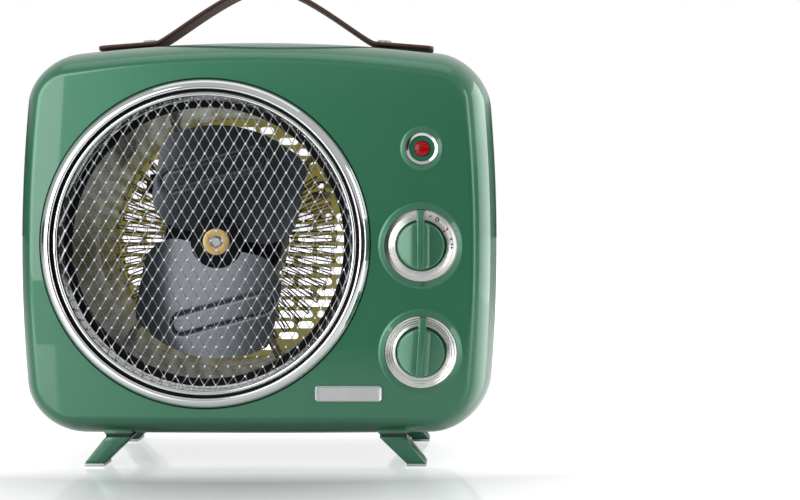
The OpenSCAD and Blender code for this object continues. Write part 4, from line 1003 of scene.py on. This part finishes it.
def screw_top(x, z, u, r, height, turn):
    """Domed head with a pressed cross: height falls with the square of radius, less the cross."""
    s = np.linspace(0, 1, 15)[None, :]
    a = round_angles(48)[:, None]
    px, pz = r * s * np.cos(a), r * s * np.sin(a)
    c, n = math.cos(turn), math.sin(turn)
    qx, qz = px * c + pz * n, pz * c - px * n
    arm, half = 0.62 * r, 0.36 / 2 * r * 0.55

    def cut(p, q):
        return unrolled((half - abs(p)) / (0.12 * r) + 0.5) * unrolled((arm - abs(q)) / (0.25 * r))

    cross = np.maximum(cut(qx, qz), cut(qz, qx))
    h = height * (1 - 0.45 * s**2 - 0.2 * s**8) - 0.55 * height * cross
    rim = place(x + r * np.cos(a), u, z + r * np.sin(a))
    top = place(x + px, u + h, z + pz)
    base = place(x + 0 * a, u, z + 0 * a)
    return sheet(np.concatenate([top, rim, base], 1), True, False)


def ring_spots(r, count):
    """Points round the ring's axis as x and z."""
    a = np.radians(360 / count * np.arange(count))
    return list(zip(RING_X + r * np.cos(a), RING_Z + r * np.sin(a)))


class HEATER_OT_back(HeaterStep):
    """Slotted plate, its screws, the terminal box and the cable gland"""

    bl_idname = "heater.back"
    bl_label = "Back"

    def build(self, sizes):
        eased("rear_grille", "gold", 0.18, 1)
        eased("terminal_cover", "gold", 0.8, 3)
        dress(["motor_standoffs"], "gold")
        dress(["thermal_cutout"], "plastic")
        dress(["terminal_block"], "cream")
        low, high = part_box("terminal_screws")
        x, back = (low.x + high.x) / 2 / MM, PLATE_AT + 1.2
        ends = [(x, low.z / MM + 2.1), (x, high.z / MM - 2.1)]
        for name, spots, u, r, height, node in (
            ("plate_screws", ring_spots(79.6, 6), back, 2.9, 1.8, "rear_grille_screws"),
            ("motor_mount_screws", ring_spots(22.0, 4), back, 2.9, 1.8, "motor_screws"),
            ("cover_screws", ends, back + 1.0, 2.1, 1.2, "terminal_screws"),
        ):
            heads = [screw_top(*spot, u, r, height, 0.4 + 1.3 * k) for k, spot in enumerate(spots)]
            solid(name, heads, "chrome", node, sharp=45)
        start, end = depths("cable_gland")
        gland = [(3.3, start), (4.6, start), (4.6, 133.0), (8.0, 133.0), (8.0, 134.6)]
        gland += [(7.2, 135.5), (6.0, 136.1)]
        gland += [(6.0 - 0.45 * (k % 2), 136.8 + 0.9 * k) for k in range(8)]
        gland += [(5.6, end - 0.5), (5.0, end), (3.7, end), (3.3, end - 0.5)]
        turned("gland_moulding", gland, GLAND, "plastic", "cable_gland", around=64, sharp=50)
        dress(["gland_nut"], "steel")


class HEATER_OT_fan(HeaterStep):
    """Two cambered paddles with pressed ribs, the black boss and hub, and the shaft"""

    bl_idname = "heater.fan"
    bl_label = "Fan"

    def build(self, sizes):
        sheets = []
        for angle in (FAN_ANGLE, FAN_ANGLE + 180):
            sheets += self.paddle(math.radians(angle))
        solid("fan_paddles", sheets, "fan", "fan_impeller", "fan", sharp=40)
        dome = rounded([(3.0, 37.6), (15.0, 38.4), (15.0, 46.0), (3.0, 46.0)], 1.6, 6)
        turned("fan_boss", dome, RING, "black", None, "fan", 96, slot="black_paint")
        hub = [(3.0, 36.0), (7.4, 36.0), (8.0, 37.0), (8.0, 46.0)]
        hub = rounded(hub + [(11.0, 46.0), (11.0, 48.0), (3.0, 48.0)], 0.4)
        turned("hub_turned", hub, RING, "brass", "fan_hub", "fan", 96)
        a, b = depths("motor_shaft")
        shaft = [(0, a), (2.5, a), (3.0, a + 0.5), (3.0, b - 0.5), (2.5, b), (0, b)]
        turned("shaft_turned", shaft, RING, "steel", "motor_shaft", "fan", 48, False)
        dress(["motor_rotor"], "steel")

    def paddle(self, turn):
        """Grid over a rounded paddle: half width by distance out, height from a wide cylinder."""
        k = np.linspace(0, 1, 112)[:, None]
        x = PADDLE_ROOT + (FAN_R - PADDLE_ROOT) * (1 - np.cos(np.pi * k)) / 2
        root = PADDLE_HALF_W - ROOT_CORNER + circle_rise(ROOT_CORNER, PADDLE_ROOT + ROOT_CORNER - x)
        outer = PADDLE_HALF_W - PADDLE_CORNER + circle_rise(PADDLE_CORNER, x - FAN_R + PADDLE_CORNER)
        half = np.minimum(np.minimum(root, outer), circle_rise(FAN_R, x))
        t = np.linspace(-1, 1, 150)[None, :]
        v = half * t
        x = x + 0 * v
        high = -CAMBER_R * math.cos(PADDLE_PITCH) + np.sqrt(
            CAMBER_R**2 - (v - CAMBER_R * math.sin(PADDLE_PITCH)) ** 2
        )
        # Pressed rib: distance to a line segment gives a raised capsule inside a narrow groove
        mid, way = RIB_MID, (math.cos(RIB_TURN), math.sin(RIB_TURN))
        along = np.clip((x - mid[0]) * way[0] + (v - mid[1]) * way[1], -RIB_HALF, RIB_HALF)
        gap = np.hypot(x - mid[0] - along * way[0], v - mid[1] - along * way[1])
        groove = np.exp(-(((gap - RIB_GROOVE_R) / 0.5) ** 2))
        high = high + RIB_PROUD * unrolled((RIB_R - gap) / 1.2) - RIB_GROOVE_D * groove
        c, s = math.cos(turn), math.sin(turn)
        wx, wz = RING_X + x * c - v * s, RING_Z + x * s + v * c
        front = place(wx, FAN_AT - high - FAN_T / 2, wz)
        back = place(wx, FAN_AT - high + FAN_T / 2, wz)
        edge = np.concatenate([front[:, 0], front[-1:, 0], front[::-1, -1], front[0, ::-1]])
        under = np.concatenate([back[:, 0], back[-1:, 0], back[::-1, -1], back[0, ::-1]])
        return [sheet(front), sheet(back), sheet(np.array([edge, under]), False, True)]


class HEATER_OT_motor(HeaterStep):
    """Round black motor: covers, stack, windings and bolts"""

    bl_idname = "heater.motor"
    bl_label = "Motor"

    def build(self, sizes):
        cover = [(7.0, 54.0), (8.4, 54.0), (9.0, 54.6), (9.0, 56.0), (31.8, 56.0), (33.0, 57.2)]
        cover += [(33.0, 62.0), (30.6, 62.0), (30.6, 58.0), (7.0, 58.0)]
        turned("motor_front_disc", cover, RING, "black", "motor_front_cover", around=160)
        dress(["motor_rear_cover"], "black")
        dress(["motor_stator", "motor_bolts"], "steel")
        dress(["motor_windings"], "copper")
        dress(["motor_front_bearing", "motor_rear_bearing"], "brass")


class HEATER_OT_element(HeaterStep):
    """Mica frame and the two folded ribbons"""

    bl_idname = "heater.element"
    bl_label = "Heating element"

    def build(self, sizes):
        dress(["element_frame"], "mica")
        dress(["heater_wire_low", "heater_wire_high"], "ribbon")


class HEATER_OT_knobs(HeaterStep):
    """Two knobs with a round core, a flared fin and a pointer, their rings, nuts and shafts"""

    bl_idname = "heater.knobs"
    bl_label = "Knobs and dials"

    def build(self, sizes):
        self.knob("selector_grip", SELECTOR, 0.0, "selector", "selector_knob")
        self.knob("thermostat_grip", THERMOSTAT, 4.0, "thermostat_dial", "thermostat_knob")
        bore = [(DIAL_BORE_R + 0.12, -0.1), (DIAL_BORE_R, 0.15)]
        flat = [(DIAL_BORE_R, WELL_D), (DIAL_R, WELL_D), (DIAL_R, -0.45), (DIAL_R - 0.1, -0.55)]
        flat += [(DIAL_R - 0.25, -0.55), (DIAL_R - 1.95, -0.17)]
        flat += [*self.grooves(DIAL_R - 2.1, DIAL_FACE_IN_R, DIAL_FACE), *bore]
        steps = [(DIAL_BORE_R, WELL_D), (DIAL_R, WELL_D), (DIAL_R, -0.75), (DIAL_R - 0.1, -0.85)]
        for k in range(3):
            r, u = DIAL_R - 0.3 - 1.35 * k, -0.85 + 0.23 * k
            steps += [*self.grooves(r, r - 0.95, u, 0.1, 0.48), (r - 1.0, u + 0.6), (r - 1.3, u + 0.6)]
        steps += [*self.grooves(DIAL_R - 4.4, DIAL_FACE_IN_R, DIAL_FACE), *bore]
        for name, profile, spot, node in (
            ("selector_dial", flat, SELECTOR, "selector_dial_ring"),
            ("thermostat_ring", steps, THERMOSTAT, "thermostat_dial_ring"),
        ):
            turned(name, profile, spot, "dial", node, sharp=50)
        self.marks()
        dress(["selector_shaft", "thermostat_shaft", "selector_nut", "thermostat_nut"], "steel")
        dress(["selector_switch"], "plastic")
        dress(["thermostat"], "cream")

    def knob(self, name, spot, turn, body, node):
        """Core revolved; fin lofted along its length; a concave flare joins the two."""
        x0, z0 = spot
        under = [(0.0, -1.0), (10.15, -1.0), (10.15, 1.2), (CORE_R - 0.3, 1.2), (CORE_R, 0.9)]
        sheets = [revolved(under + [(CORE_R, -4.0)], x0, z0, 128, closed=False)]
        sheets.append(self.disc(x0, z0, turn))
        blade = [(-FIN_ROOT_W, -2.7), (FIN_ROOT_W, -2.7)]
        blade += [(FIN_TOP_W, -FIN_PROUD), (-FIN_TOP_W, -FIN_PROUD)]
        blade = rounded(blade, 0.7, 5)
        sheets.append(self.fin(blade, -CORE_R + 0.3, FIN_REACH, x0, z0, turn))
        base, top = -CORE_PROUD + 0.3, -FIN_PROUD + 1.2
        k = np.linspace(0, 1, 9)
        half = 1.95 + 2.7 * (1 - k) ** 2.2
        depth = base + (top - base) * k
        flare = np.concatenate([np.stack([half, depth], -1), np.stack([-half[::-1], depth[::-1]], -1)])
        sheets.append(self.fin(flare, -CORE_R + 1.0, CORE_R - 1.0, x0, z0, turn, 1.6))
        solid(name, sheets, "knob", node, body, sharp=38)

    def disc(self, x0, z0, turn):
        """Polar grid: depth falls away from the fin's plane as a parabola, its rim a quarter circle."""
        k = np.linspace(0, np.pi / 2, 8)
        level = np.linspace(0, CORE_R - KNOB_EASE, 14)
        r = np.concatenate([level, CORE_R - KNOB_EASE + KNOB_EASE * np.sin(k[1:])])
        drop = np.concatenate([0 * level, KNOB_EASE * (1 - np.cos(k[1:]))])
        a = round_angles(128)[:, None]
        across = np.abs(r * np.cos(a + math.radians(turn)))
        u = -CORE_PROUD + BARREL_SLOPE * across**2 / (2 * CORE_R) + drop
        x, z = x0 + r * np.cos(a), z0 + r * np.sin(a)
        rim = place(x[:, -1:], -4.0, z[:, -1:])
        return sheet(np.concatenate([place(x, u, z), rim], 1), True, False)

    def fin(self, section, low, high, x0, z0, turn, ease=0.9):
        """Sweeps a section up a fin and draws its ends in along a quarter circle."""
        k = np.linspace(0, np.pi / 2, 6)
        drawn = ease * (1 - np.sin(k))
        z = np.sort(np.concatenate([low + drawn, high - drawn]))
        near = np.minimum(z - low, high - z)
        draw = ease * (1 - np.sqrt(np.clip(1 - (1 - np.clip(near / ease, 0, 1)) ** 2, 0, 1)))
        mid = section.mean(0)
        span = np.abs(section - mid).max(0)
        shrink = 1 - np.minimum(draw[:, None] / span[None, :], 0.9)
        p = mid[None, None] + (section - mid)[None] * shrink[:, None, :]
        a = math.radians(turn)
        x, zz = p[..., 0], np.broadcast_to(z[:, None], p.shape[:2])
        px = x0 + x * math.cos(a) + zz * math.sin(a)
        pz = z0 + zz * math.cos(a) - x * math.sin(a)
        return capped(place(px, p[..., 1], pz))

    def grooves(self, outer, inner, u, fall=0.0, pitch=GROOVE_PITCH):
        """Turned lines: a cosine of the radius between two radii, drawn from outside inwards."""
        n = max(1, round((outer - inner) / pitch))
        s = np.linspace(0, 1, 6 * n + 1)
        depth = u + fall * s - GROOVE_D * (1 - np.cos(2 * np.pi * n * s)) / 2
        return np.stack([outer + (inner - outer) * s, depth], -1)

    def marks(self):
        """Plain generic marks on the selector's ring, a hair above the plating."""
        middle_r = (DIAL_R + DIAL_BORE_R) / 2
        black, red = [], []
        # Angle, shift outwards, shift along the ring, size, inner share, group
        for angle, out, along, size, hollow, group in (
            (18, 0.0, 0.0, 0.5, 0.0, black),
            (32, 0.0, 0.0, 1.15, 0.5, black),
            (58, -1.9, 0.0, 0.62, 0.0, red),
            (58, 0.0, 0.0, 0.62, 0.0, red),
            (78, 0.0, 0.0, 0.5, 0.0, black),
            (91, 0.0, -0.9, 0.55, 0.0, black),
            (91, 0.0, 0.9, 0.55, 0.0, black),
        ):
            a, r = math.radians(90 - angle), middle_r + out
            x = SELECTOR[0] + r * math.cos(a) - along * math.sin(a)
            z = SELECTOR[1] + r * math.sin(a) + along * math.cos(a)
            dot = [(size * hollow, -0.12), (size * hollow, -0.27), (size, -0.27), (size, -0.12)]
            group.append(revolved(dot, x, z, 24))
        solid("selector_marks", black, "mark", slot="black_paint")
        solid("selector_mark_high", red, "red_mark", slot="red_lens")


class HEATER_OT_pilot(HeaterStep):
    """Pilot light: chrome ring with an inward facet, and the red lens"""

    bl_idname = "heater.pilot"
    bl_label = "Pilot light"

    def build(self, sizes):
        ring = [(6.9, 2.0), (9.0, 2.0), (9.0, -0.1), (8.7, -0.45), (7.0, -0.05)]
        ring = rounded(ring, 0.15, 4)
        turned("pilot_ring", ring, PILOT, "chrome", "pilot_bezel", around=96)
        dome = [(0, 3.5), (4.1, 3.5), (4.1, 1.3), *arc(3.3, 1.1, 0.8, 0, -60, 4)]
        dome += [(2.4, 0.02), (1.2, -0.16), (0, -0.2)]
        turned("pilot_dome", dome, PILOT, "lens", "pilot_lens", around=72, closed=False)
        dress(["pilot_lamp"], "plastic")


class HEATER_OT_badge(HeaterStep):
    """Bare silver plate with a raised border"""

    bl_idname = "heater.badge"
    bl_label = "Badge plate"

    def build(self, sizes):
        rows = []
        # Inset from the edge and depth of each ring, from the back of the plate to its field
        for inset, u in (
            (0.0, 0.0), (0.0, -1.1), (0.1, -1.32), (0.3, -1.4), (0.5, -1.38),
            (0.68, -1.2), (0.85, -1.03), (1.2, -1.0), (3.4, -1.0),
        ):
            w, h = BADGE_W / 2 - inset, BADGE_H / 2 - inset
            p = rounded([(-w, -h), (w, -h), (w, h), (-w, h)], max(1.9 - inset, 0.5), 6)
            rows.append(place(BADGE[0] + p[:, 0], u, BADGE[1] + p[:, 1]))
        plate = [capped(np.array(rows))]
        solid("badge_bare", plate, "silver", "badge_plate", sharp=50)


class HEATER_OT_legs(HeaterStep):
    """Splayed bevelled legs with dark pads and chrome soles"""

    bl_idname = "heater.legs"
    bl_label = "Legs"

    def build(self, sizes):
        for end, u0 in (("front", LEG_AT), ("rear", REAR_LEG_AT)):
            for hand, side in (("right", 1), ("left", -1)):
                name, made = f"leg_{end}_{hand}", [self.leg(side, u0)]
                solid(name + "_eased", made, "enamel", name, sharp=50)
        dress(["leg_pads"], "rubber")
        eased("leg_soles", "chrome", 0.35, 2)
        dress(["leg_screws"], "steel")

    def leg(self, side, u0):
        """Rounded oblong sections from sole to pad: middle slides in, width grows."""
        k = np.array([0.0, 0.02, 0.06, 0.15, 0.3, 0.5, 0.7, 0.85, 0.96, 1.0])
        z = SOLE_H + (LEG_TOP_Z - SOLE_H) * k
        x = LEG_TOP_X + LEG_SPLAY * (LEG_TOP_Z - z) / (LEG_TOP_Z - SOLE_H)
        w = LEG_FOOT_W + (LEG_TOP_W - LEG_FOOT_W) * k
        d0, d1 = LEG_FOOT_IN * (1 - k), LEG_D - LEG_FOOT_IN * (1 - k)
        ease = np.array([0.55, 0.2, 0, 0, 0, 0, 0, 0, 0.0, 0.25])
        rows = []
        for n in range(len(k)):
            a, b = x[n] - w[n] / 2 + ease[n], x[n] + w[n] / 2 - ease[n]
            near, far = u0 + d0[n] + ease[n], u0 + d1[n] - ease[n]
            p = rounded([(a, near), (b, near), (b, far), (a, far)], 1.6, 5)
            rows.append(place(side * p[:, 0], p[:, 1], z[n]))
        return capped(np.array(rows))


class HEATER_OT_strap(HeaterStep):
    """Leather strap with rounded edges, chrome studs shown in darker plain steel as painted shade, and
    black spacers
    """

    bl_idname = "heater.strap"
    bl_label = "Carrying strap"

    def build(self, sizes):
        slope = math.atan(2 * TOP_CROWN * STUD_X / BASE_A**2)
        base_z = MID_Z + BASE_B + TOP_CROWN * (1 - (STUD_X / BASE_A) ** 2)
        strap_z = base_z + (STRAP_LIFT + STRAP_T / 2) / math.cos(slope)
        down = np.array([math.cos(slope), -math.sin(slope)])
        stud = np.array([STUD_X, strap_z])
        bend = stud - BEND_IN * down
        crown = np.array([0, strap_z + STRAP_RISE])
        t = np.linspace(0, 1, 60)[:, None]
        curve = (
            (1 - t) ** 3 * crown
            + 3 * (1 - t) ** 2 * t * (crown + [CROWN_PULL, 0])
            + 3 * (1 - t) * t**2 * (bend - STUD_PULL * down)
            + t**3 * bend
        )
        tail = bend + (BEND_IN + STRAP_TAIL) * down * np.linspace(0, 1, 30)[1:, None]
        right = np.concatenate([curve, tail])
        line = np.concatenate([right[:0:-1] * [-1, 1], right])
        steps = np.gradient(line, axis=0)
        steps /= np.linalg.norm(steps, axis=1)[:, None]
        normal = np.stack([-steps[:, 1], steps[:, 0]], -1)
        run = np.concatenate([[0], np.cumsum(np.linalg.norm(np.diff(line, axis=0), axis=1))])
        # Section: an oblong with half-round edges, slightly full in the middle
        half_w, half_t = STRAP_W / 2, STRAP_T / 2
        edge = arc(half_w - half_t, 0, half_t, -90, 90, 8)
        reach = np.linspace(half_w - half_t, half_t - half_w, 15)[1:-1]
        top = np.stack([reach, np.full(13, half_t)], -1)
        section = np.concatenate([edge, top, -edge, top[::-1] * [1, -1]])
        # Ends: width drawn in by a circle, so the tails have round corners
        near = np.minimum(run, run[-1] - run)
        pull = STRAP_CORNER - circle_rise(STRAP_CORNER, STRAP_CORNER - near)
        wide = (half_w - pull) / half_w
        y = section[None, :, 0] * wide[:, None]
        h = section[None, :, 1] + 0 * y
        pts = place(line[:, :1] + normal[:, :1] * h, MID_D + y, line[:, 1:] + normal[:, 1:] * h)
        v = 0.5 + section[None, :, 0] / STRAP_W + 0 * y
        uv = np.stack([run[:, None] * MM + 0 * y, v], -1)
        uv = np.concatenate([uv[:1], uv, uv[-1:]]).reshape(-1, 2)
        strap = [capped(pts)]
        solid("strap_leather", strap, "leather", "carry_strap", sharp=50, uv=uv)
        heads = [self.stud(side, slope, base_z) for side in (-1, 1)]
        # Painted shade: the stud heads take plain steel, darker than their chrome, so that they read
        # dark.
        solid("strap_stud_heads", heads, "steel", "strap_studs", sharp=40)
        dress(["strap_spacers"], "rubber")
        dress(["strap_nuts"], "steel")

    def stud(self, side, slope, base_z):
        """Post and domed head revolved about the stud's own axis, square to the body's top."""
        head = STRAP_LIFT + STRAP_T
        profile = [(0, -8.0), (2.0, -8.0), (2.0, head), (4.0, head), (4.3, head + 0.3)]
        profile += [*arc(2.9, head + 0.5, 1.4, 0, 70, 6), (1.8, head + 1.86), (0.0, head + 1.9)]
        profile = np.array(profile)
        a = round_angles(64)[:, None]
        r, h = profile[None, :, 0], profile[None, :, 1]
        lx, ly = r * np.cos(a), r * np.sin(a)
        h = h + 0 * a
        tilt = side * slope
        x = side * STUD_X + lx * math.cos(tilt) + h * math.sin(tilt)
        z = base_z - lx * math.sin(tilt) + h * math.cos(tilt)
        return sheet(place(x, MID_D + ly, z), True, False)


class HEATER_OT_stage(bpy.types.Operator):
    """Pale floor, soft lamps, white surroundings and the camera"""

    bl_idname = "heater.stage"
    bl_label = "Stage"

    def execute(self, context):
        sizes = context.scene.fan_heater
        self.floor(sizes)
        self.lamps(sizes)
        self.surroundings(sizes)
        data = bpy.data.cameras.new("front_camera")
        data.sensor_width = 36.0
        data.lens = sizes.lens
        data.shift_x, data.shift_y = -0.075, -0.055
        data.clip_start, data.clip_end = 0.05, 50.0
        camera = bpy.data.objects.new("front_camera", data)
        camera.location = (CAMERA_X, FACE_Y - sizes.camera_away, CAMERA_Z)
        camera.rotation_euler = (math.radians(90), 0, 0)
        context.scene.collection.objects.link(camera)
        context.scene.camera = camera
        context.scene.view_settings.view_transform = "Standard"
        return {"FINISHED"}

    def floor(self, sizes):
        """A wide white glossy table: diffuse under a weak mirror."""
        g = np.linspace(-6, 6, 9)
        x, y = np.meshgrid(g, np.concatenate([[-0.8], g[4:]]))
        pts, quads = sheet(np.stack([x, y, 0 * x], -1))
        mesh = bpy.data.meshes.new("table_top")
        mesh.from_pydata(pts.tolist(), [], quads.tolist())
        table = bpy.data.objects.new("table_top", mesh)
        bpy.context.scene.collection.objects.link(table)
        f = Finish("white_table")
        grain = f.noise(6.0, 2.0)
        spot = f.node("ShaderNodeTexCoord", out=3)
        away = f.node("ShaderNodeVectorMath", {"operation": "LENGTH"}, {0: spot}, out=1)
        seen, mirrored = (f.node("ShaderNodeLightPath", out=k) for k in (0, 3))
        x, y = (f.node("ShaderNodeSeparateXYZ", inputs={0: spot}, out=k) for k in (0, 1))
        share = lambda value: 1.0 - (1.0 - value).most(0.0)
        # Camera rays see a glow. Far from the heater it makes the table read evenly white; under and
        # behind the heater's front it is painted light that lightens the shadow beneath the body.
        glow = (share((away - 0.1) / 0.4) * 1.15).most(share((y + 0.1) / 0.05) * 0.55)
        f.done(
            Base_Color=(0.68, 0.7, 0.695),
            Roughness=0.08 + 0.02 * grain,
            IOR=sizes.table_ior,
            Emission_Color=seen * glow.most(0.0),
            Emission_Strength=1.0,
        )
        # The camera's side of the table ends in mirrors, as the real one does, but not at the left
        lit = ((x / y - 0.1) / 0.3).most(0.0)
        end = mirrored * share((y + 0.45) / -0.4).most(0.0) * (1.0 - lit).most(0.0)
        table_skin = Link(f, f.shader.outputs[0])
        dark = f.node("ShaderNodeEmission", inputs={"Strength": 0.0})
        ended = f.node("ShaderNodeMixShader", inputs={0: end, 1: table_skin, 2: dark})
        f.feed(f.output.inputs[0], ended)
        mesh.materials.append(f.material)

    def lamps(self, sizes):
        for name, spot, aim, size, power in (
            ("soft_edge", (0.885, 0.656, 0.31), (0.13, 0.0, 0.31), (0.85, 0.64), sizes.edge_power),
            ("soft_right", (1.0, -0.42, 0.3), (0.12, -0.06, 0.14), (0.36, 0.8), sizes.key_power),
            ("soft_left", (-1.05, -1.35, 0.56), (0.0, 0.0, 0.3), (1.3, 1.1), sizes.fill_power),
            ("soft_top", (0.0, 0.1, 1.5), (0.0, 0.0, 0.1), (1.5, 1.1), sizes.top_power),
        ):
            data = bpy.data.lights.new(name, "AREA")
            data.shape = "RECTANGLE"
            data.size, data.size_y = size
            data.energy = power
            lamp = bpy.data.objects.new(name, data)
            lamp.location = spot
            lamp.visible_camera = False
            way = Vector(aim) - Vector(spot)
            lamp.rotation_euler = way.to_track_quat("-Z", "Y").to_euler()
            bpy.context.scene.collection.objects.link(lamp)

    def surroundings(self, sizes):
        """White where seen straight; a dim room with a pale ceiling in mirrors; grey as light."""
        world = bpy.data.worlds.new("studio")
        bpy.context.scene.world = world
        sky = NodeTree(world)
        spot = sky.node("ShaderNodeTexCoord")
        x, y, z = (sky.node("ShaderNodeSeparateXYZ", inputs={0: spot}, out=k) for k in range(3))

        def ramp(value, start, end, low, high):
            inputs = {"Value": value, "From Min": start, "From Max": end, "To Min": low}
            inputs["To Max"] = high
            return sky.node("ShaderNodeMapRange", {"interpolation_type": "SMOOTHSTEP"}, inputs)

        def choose(factor, first, second):
            inputs = {0: factor, 2: first, 3: second}
            return sky.node("ShaderNodeMix", {"data_type": "FLOAT"}, inputs)

        behind = ramp(y, 0.9, 0.97, 0.0, 0.12) * ramp(z, 0.05, 0.13, 0.15, 1.0)
        above = ramp(z, 0.06, 0.13, sizes.room, sizes.ceiling)
        left = ramp(x, -0.3, -0.12, 1.4, 0.0) * ramp(y, -0.5, -0.1, 1.0, 0.0)
        left = left * ramp(z, 0.3, 0.6, 1.0, 0.0)
        around = ramp(y, -0.9, 0.2, 0.4 * sizes.ambient, 2.9 * sizes.ambient)
        seen, mirrored, through = (
            sky.node("ShaderNodeLightPath", out=f"Is {ray} Ray")
            for ray in ("Camera", "Glossy", "Transmission")
        )
        level = choose(mirrored, around, behind.most(above).most(left))
        level = choose(seen.most(through), level, 1.0)
        back = sky.node("ShaderNodeBackground", inputs={0: (1, 1, 1), 1: level})
        end = sky.nodes.new("ShaderNodeOutputWorld")
        sky.feed(end.inputs[0], back)


def colour(name, description, value):
    """A setting that is a colour."""
    return FloatVectorProperty(
        name=name, description=description, subtype="COLOR", default=value, min=0.0, max=1.0
    )


def amount(name, description, value, low, high):
    """A setting that is a number between two limits."""
    return FloatProperty(name=name, description=description, default=value, min=low, max=high)


class FanHeaterSettings(bpy.types.PropertyGroup):
    """Sizes, colours and light that a user would change"""

    enamel: colour("Enamel", "Colour of the enamelled body", linear(53, 113, 85))
    knob: colour("Knobs", "Colour of the knobs", linear(56, 116, 88))
    leather: colour("Leather", "Colour of the strap", linear(100, 60, 54))
    strand_w: amount("Strand width", "Width of a strand of the mesh in millimetres", 0.42, 0.3, 1.5)
    strand_t: amount("Strand thickness", "Thickness of a strand in millimetres", 0.34, 0.3, 1.5)
    mesh_shift_x: amount("Mesh shift across", "Sideways shift in millimetres", -1.1, -4.0, 4.0)
    mesh_shift_z: amount("Mesh shift up", "Upward shift in millimetres", 1.5, -6.0, 6.0)
    camera_away: amount("Camera distance", "Camera's distance in metres", 0.8, 0.3, 5.0)
    lens: amount("Lens", "Focal length in millimetres", 66.85, 20.0, 200.0)
    key_power: amount("Right lamp", "Power of the right lamp in watts", 2.2, 0.0, 500.0)
    edge_power: amount("Edge lamp", "Power of the lamp behind on the right", 2.3, 0.0, 500.0)
    fill_power: amount("Left lamp", "Power of the left lamp in watts", 13.0, 0.0, 500.0)
    top_power: amount("Top lamp", "Power of the top lamp in watts", 2.6, 0.0, 500.0)
    room: amount("Room", "Brightness of the room in mirrors", 0.03, 0.0, 5.0)
    ceiling: amount("Ceiling", "Brightness of the ceiling in mirrors", 0.55, 0.0, 5.0)
    ambient: amount("Ambient", "Strength of the surroundings as light", 0.55, 0.0, 5.0)
    table_ior: amount("Table gloss", "Index of refraction of the table's skin", 1.9, 1.0, 3.0)


STEPS = (
    HEATER_OT_finishes,
    HEATER_OT_front_shell,
    HEATER_OT_rear_shell,
    HEATER_OT_air_ring,
    HEATER_OT_mesh,
    HEATER_OT_air_duct,
    HEATER_OT_back,
    HEATER_OT_fan,
    HEATER_OT_motor,
    HEATER_OT_element,
    HEATER_OT_knobs,
    HEATER_OT_pilot,
    HEATER_OT_badge,
    HEATER_OT_legs,
    HEATER_OT_strap,
    HEATER_OT_stage,
)


class HEATER_PT_panel(bpy.types.Panel):
    """Lists the heater's settings and steps"""

    bl_idname = "HEATER_PT_panel"
    bl_label = "Fan Heater"
    bl_space_type = "VIEW_3D"
    bl_region_type = "UI"
    bl_category = "Fan Heater"

    def draw(self, context):
        settings = context.scene.fan_heater
        for name in FanHeaterSettings.__annotations__:
            self.layout.prop(settings, name)
        for step in STEPS:
            self.layout.operator(step.bl_idname)


def register():
    bpy.utils.register_class(FanHeaterSettings)
    for step in STEPS:
        bpy.utils.register_class(step)
    bpy.utils.register_class(HEATER_PT_panel)
    bpy.types.Scene.fan_heater = PointerProperty(type=FanHeaterSettings)


def unregister():
    del bpy.types.Scene.fan_heater
    bpy.utils.unregister_class(HEATER_PT_panel)
    for step in reversed(STEPS):
        bpy.utils.unregister_class(step)
    bpy.utils.unregister_class(FanHeaterSettings)


def main():
    """Registers the add-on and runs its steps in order."""
    register()
    for step in STEPS:
        group, name = step.bl_idname.split(".")
        getattr(getattr(bpy.ops, group), name)()


if __name__ == "__main__":
    main()
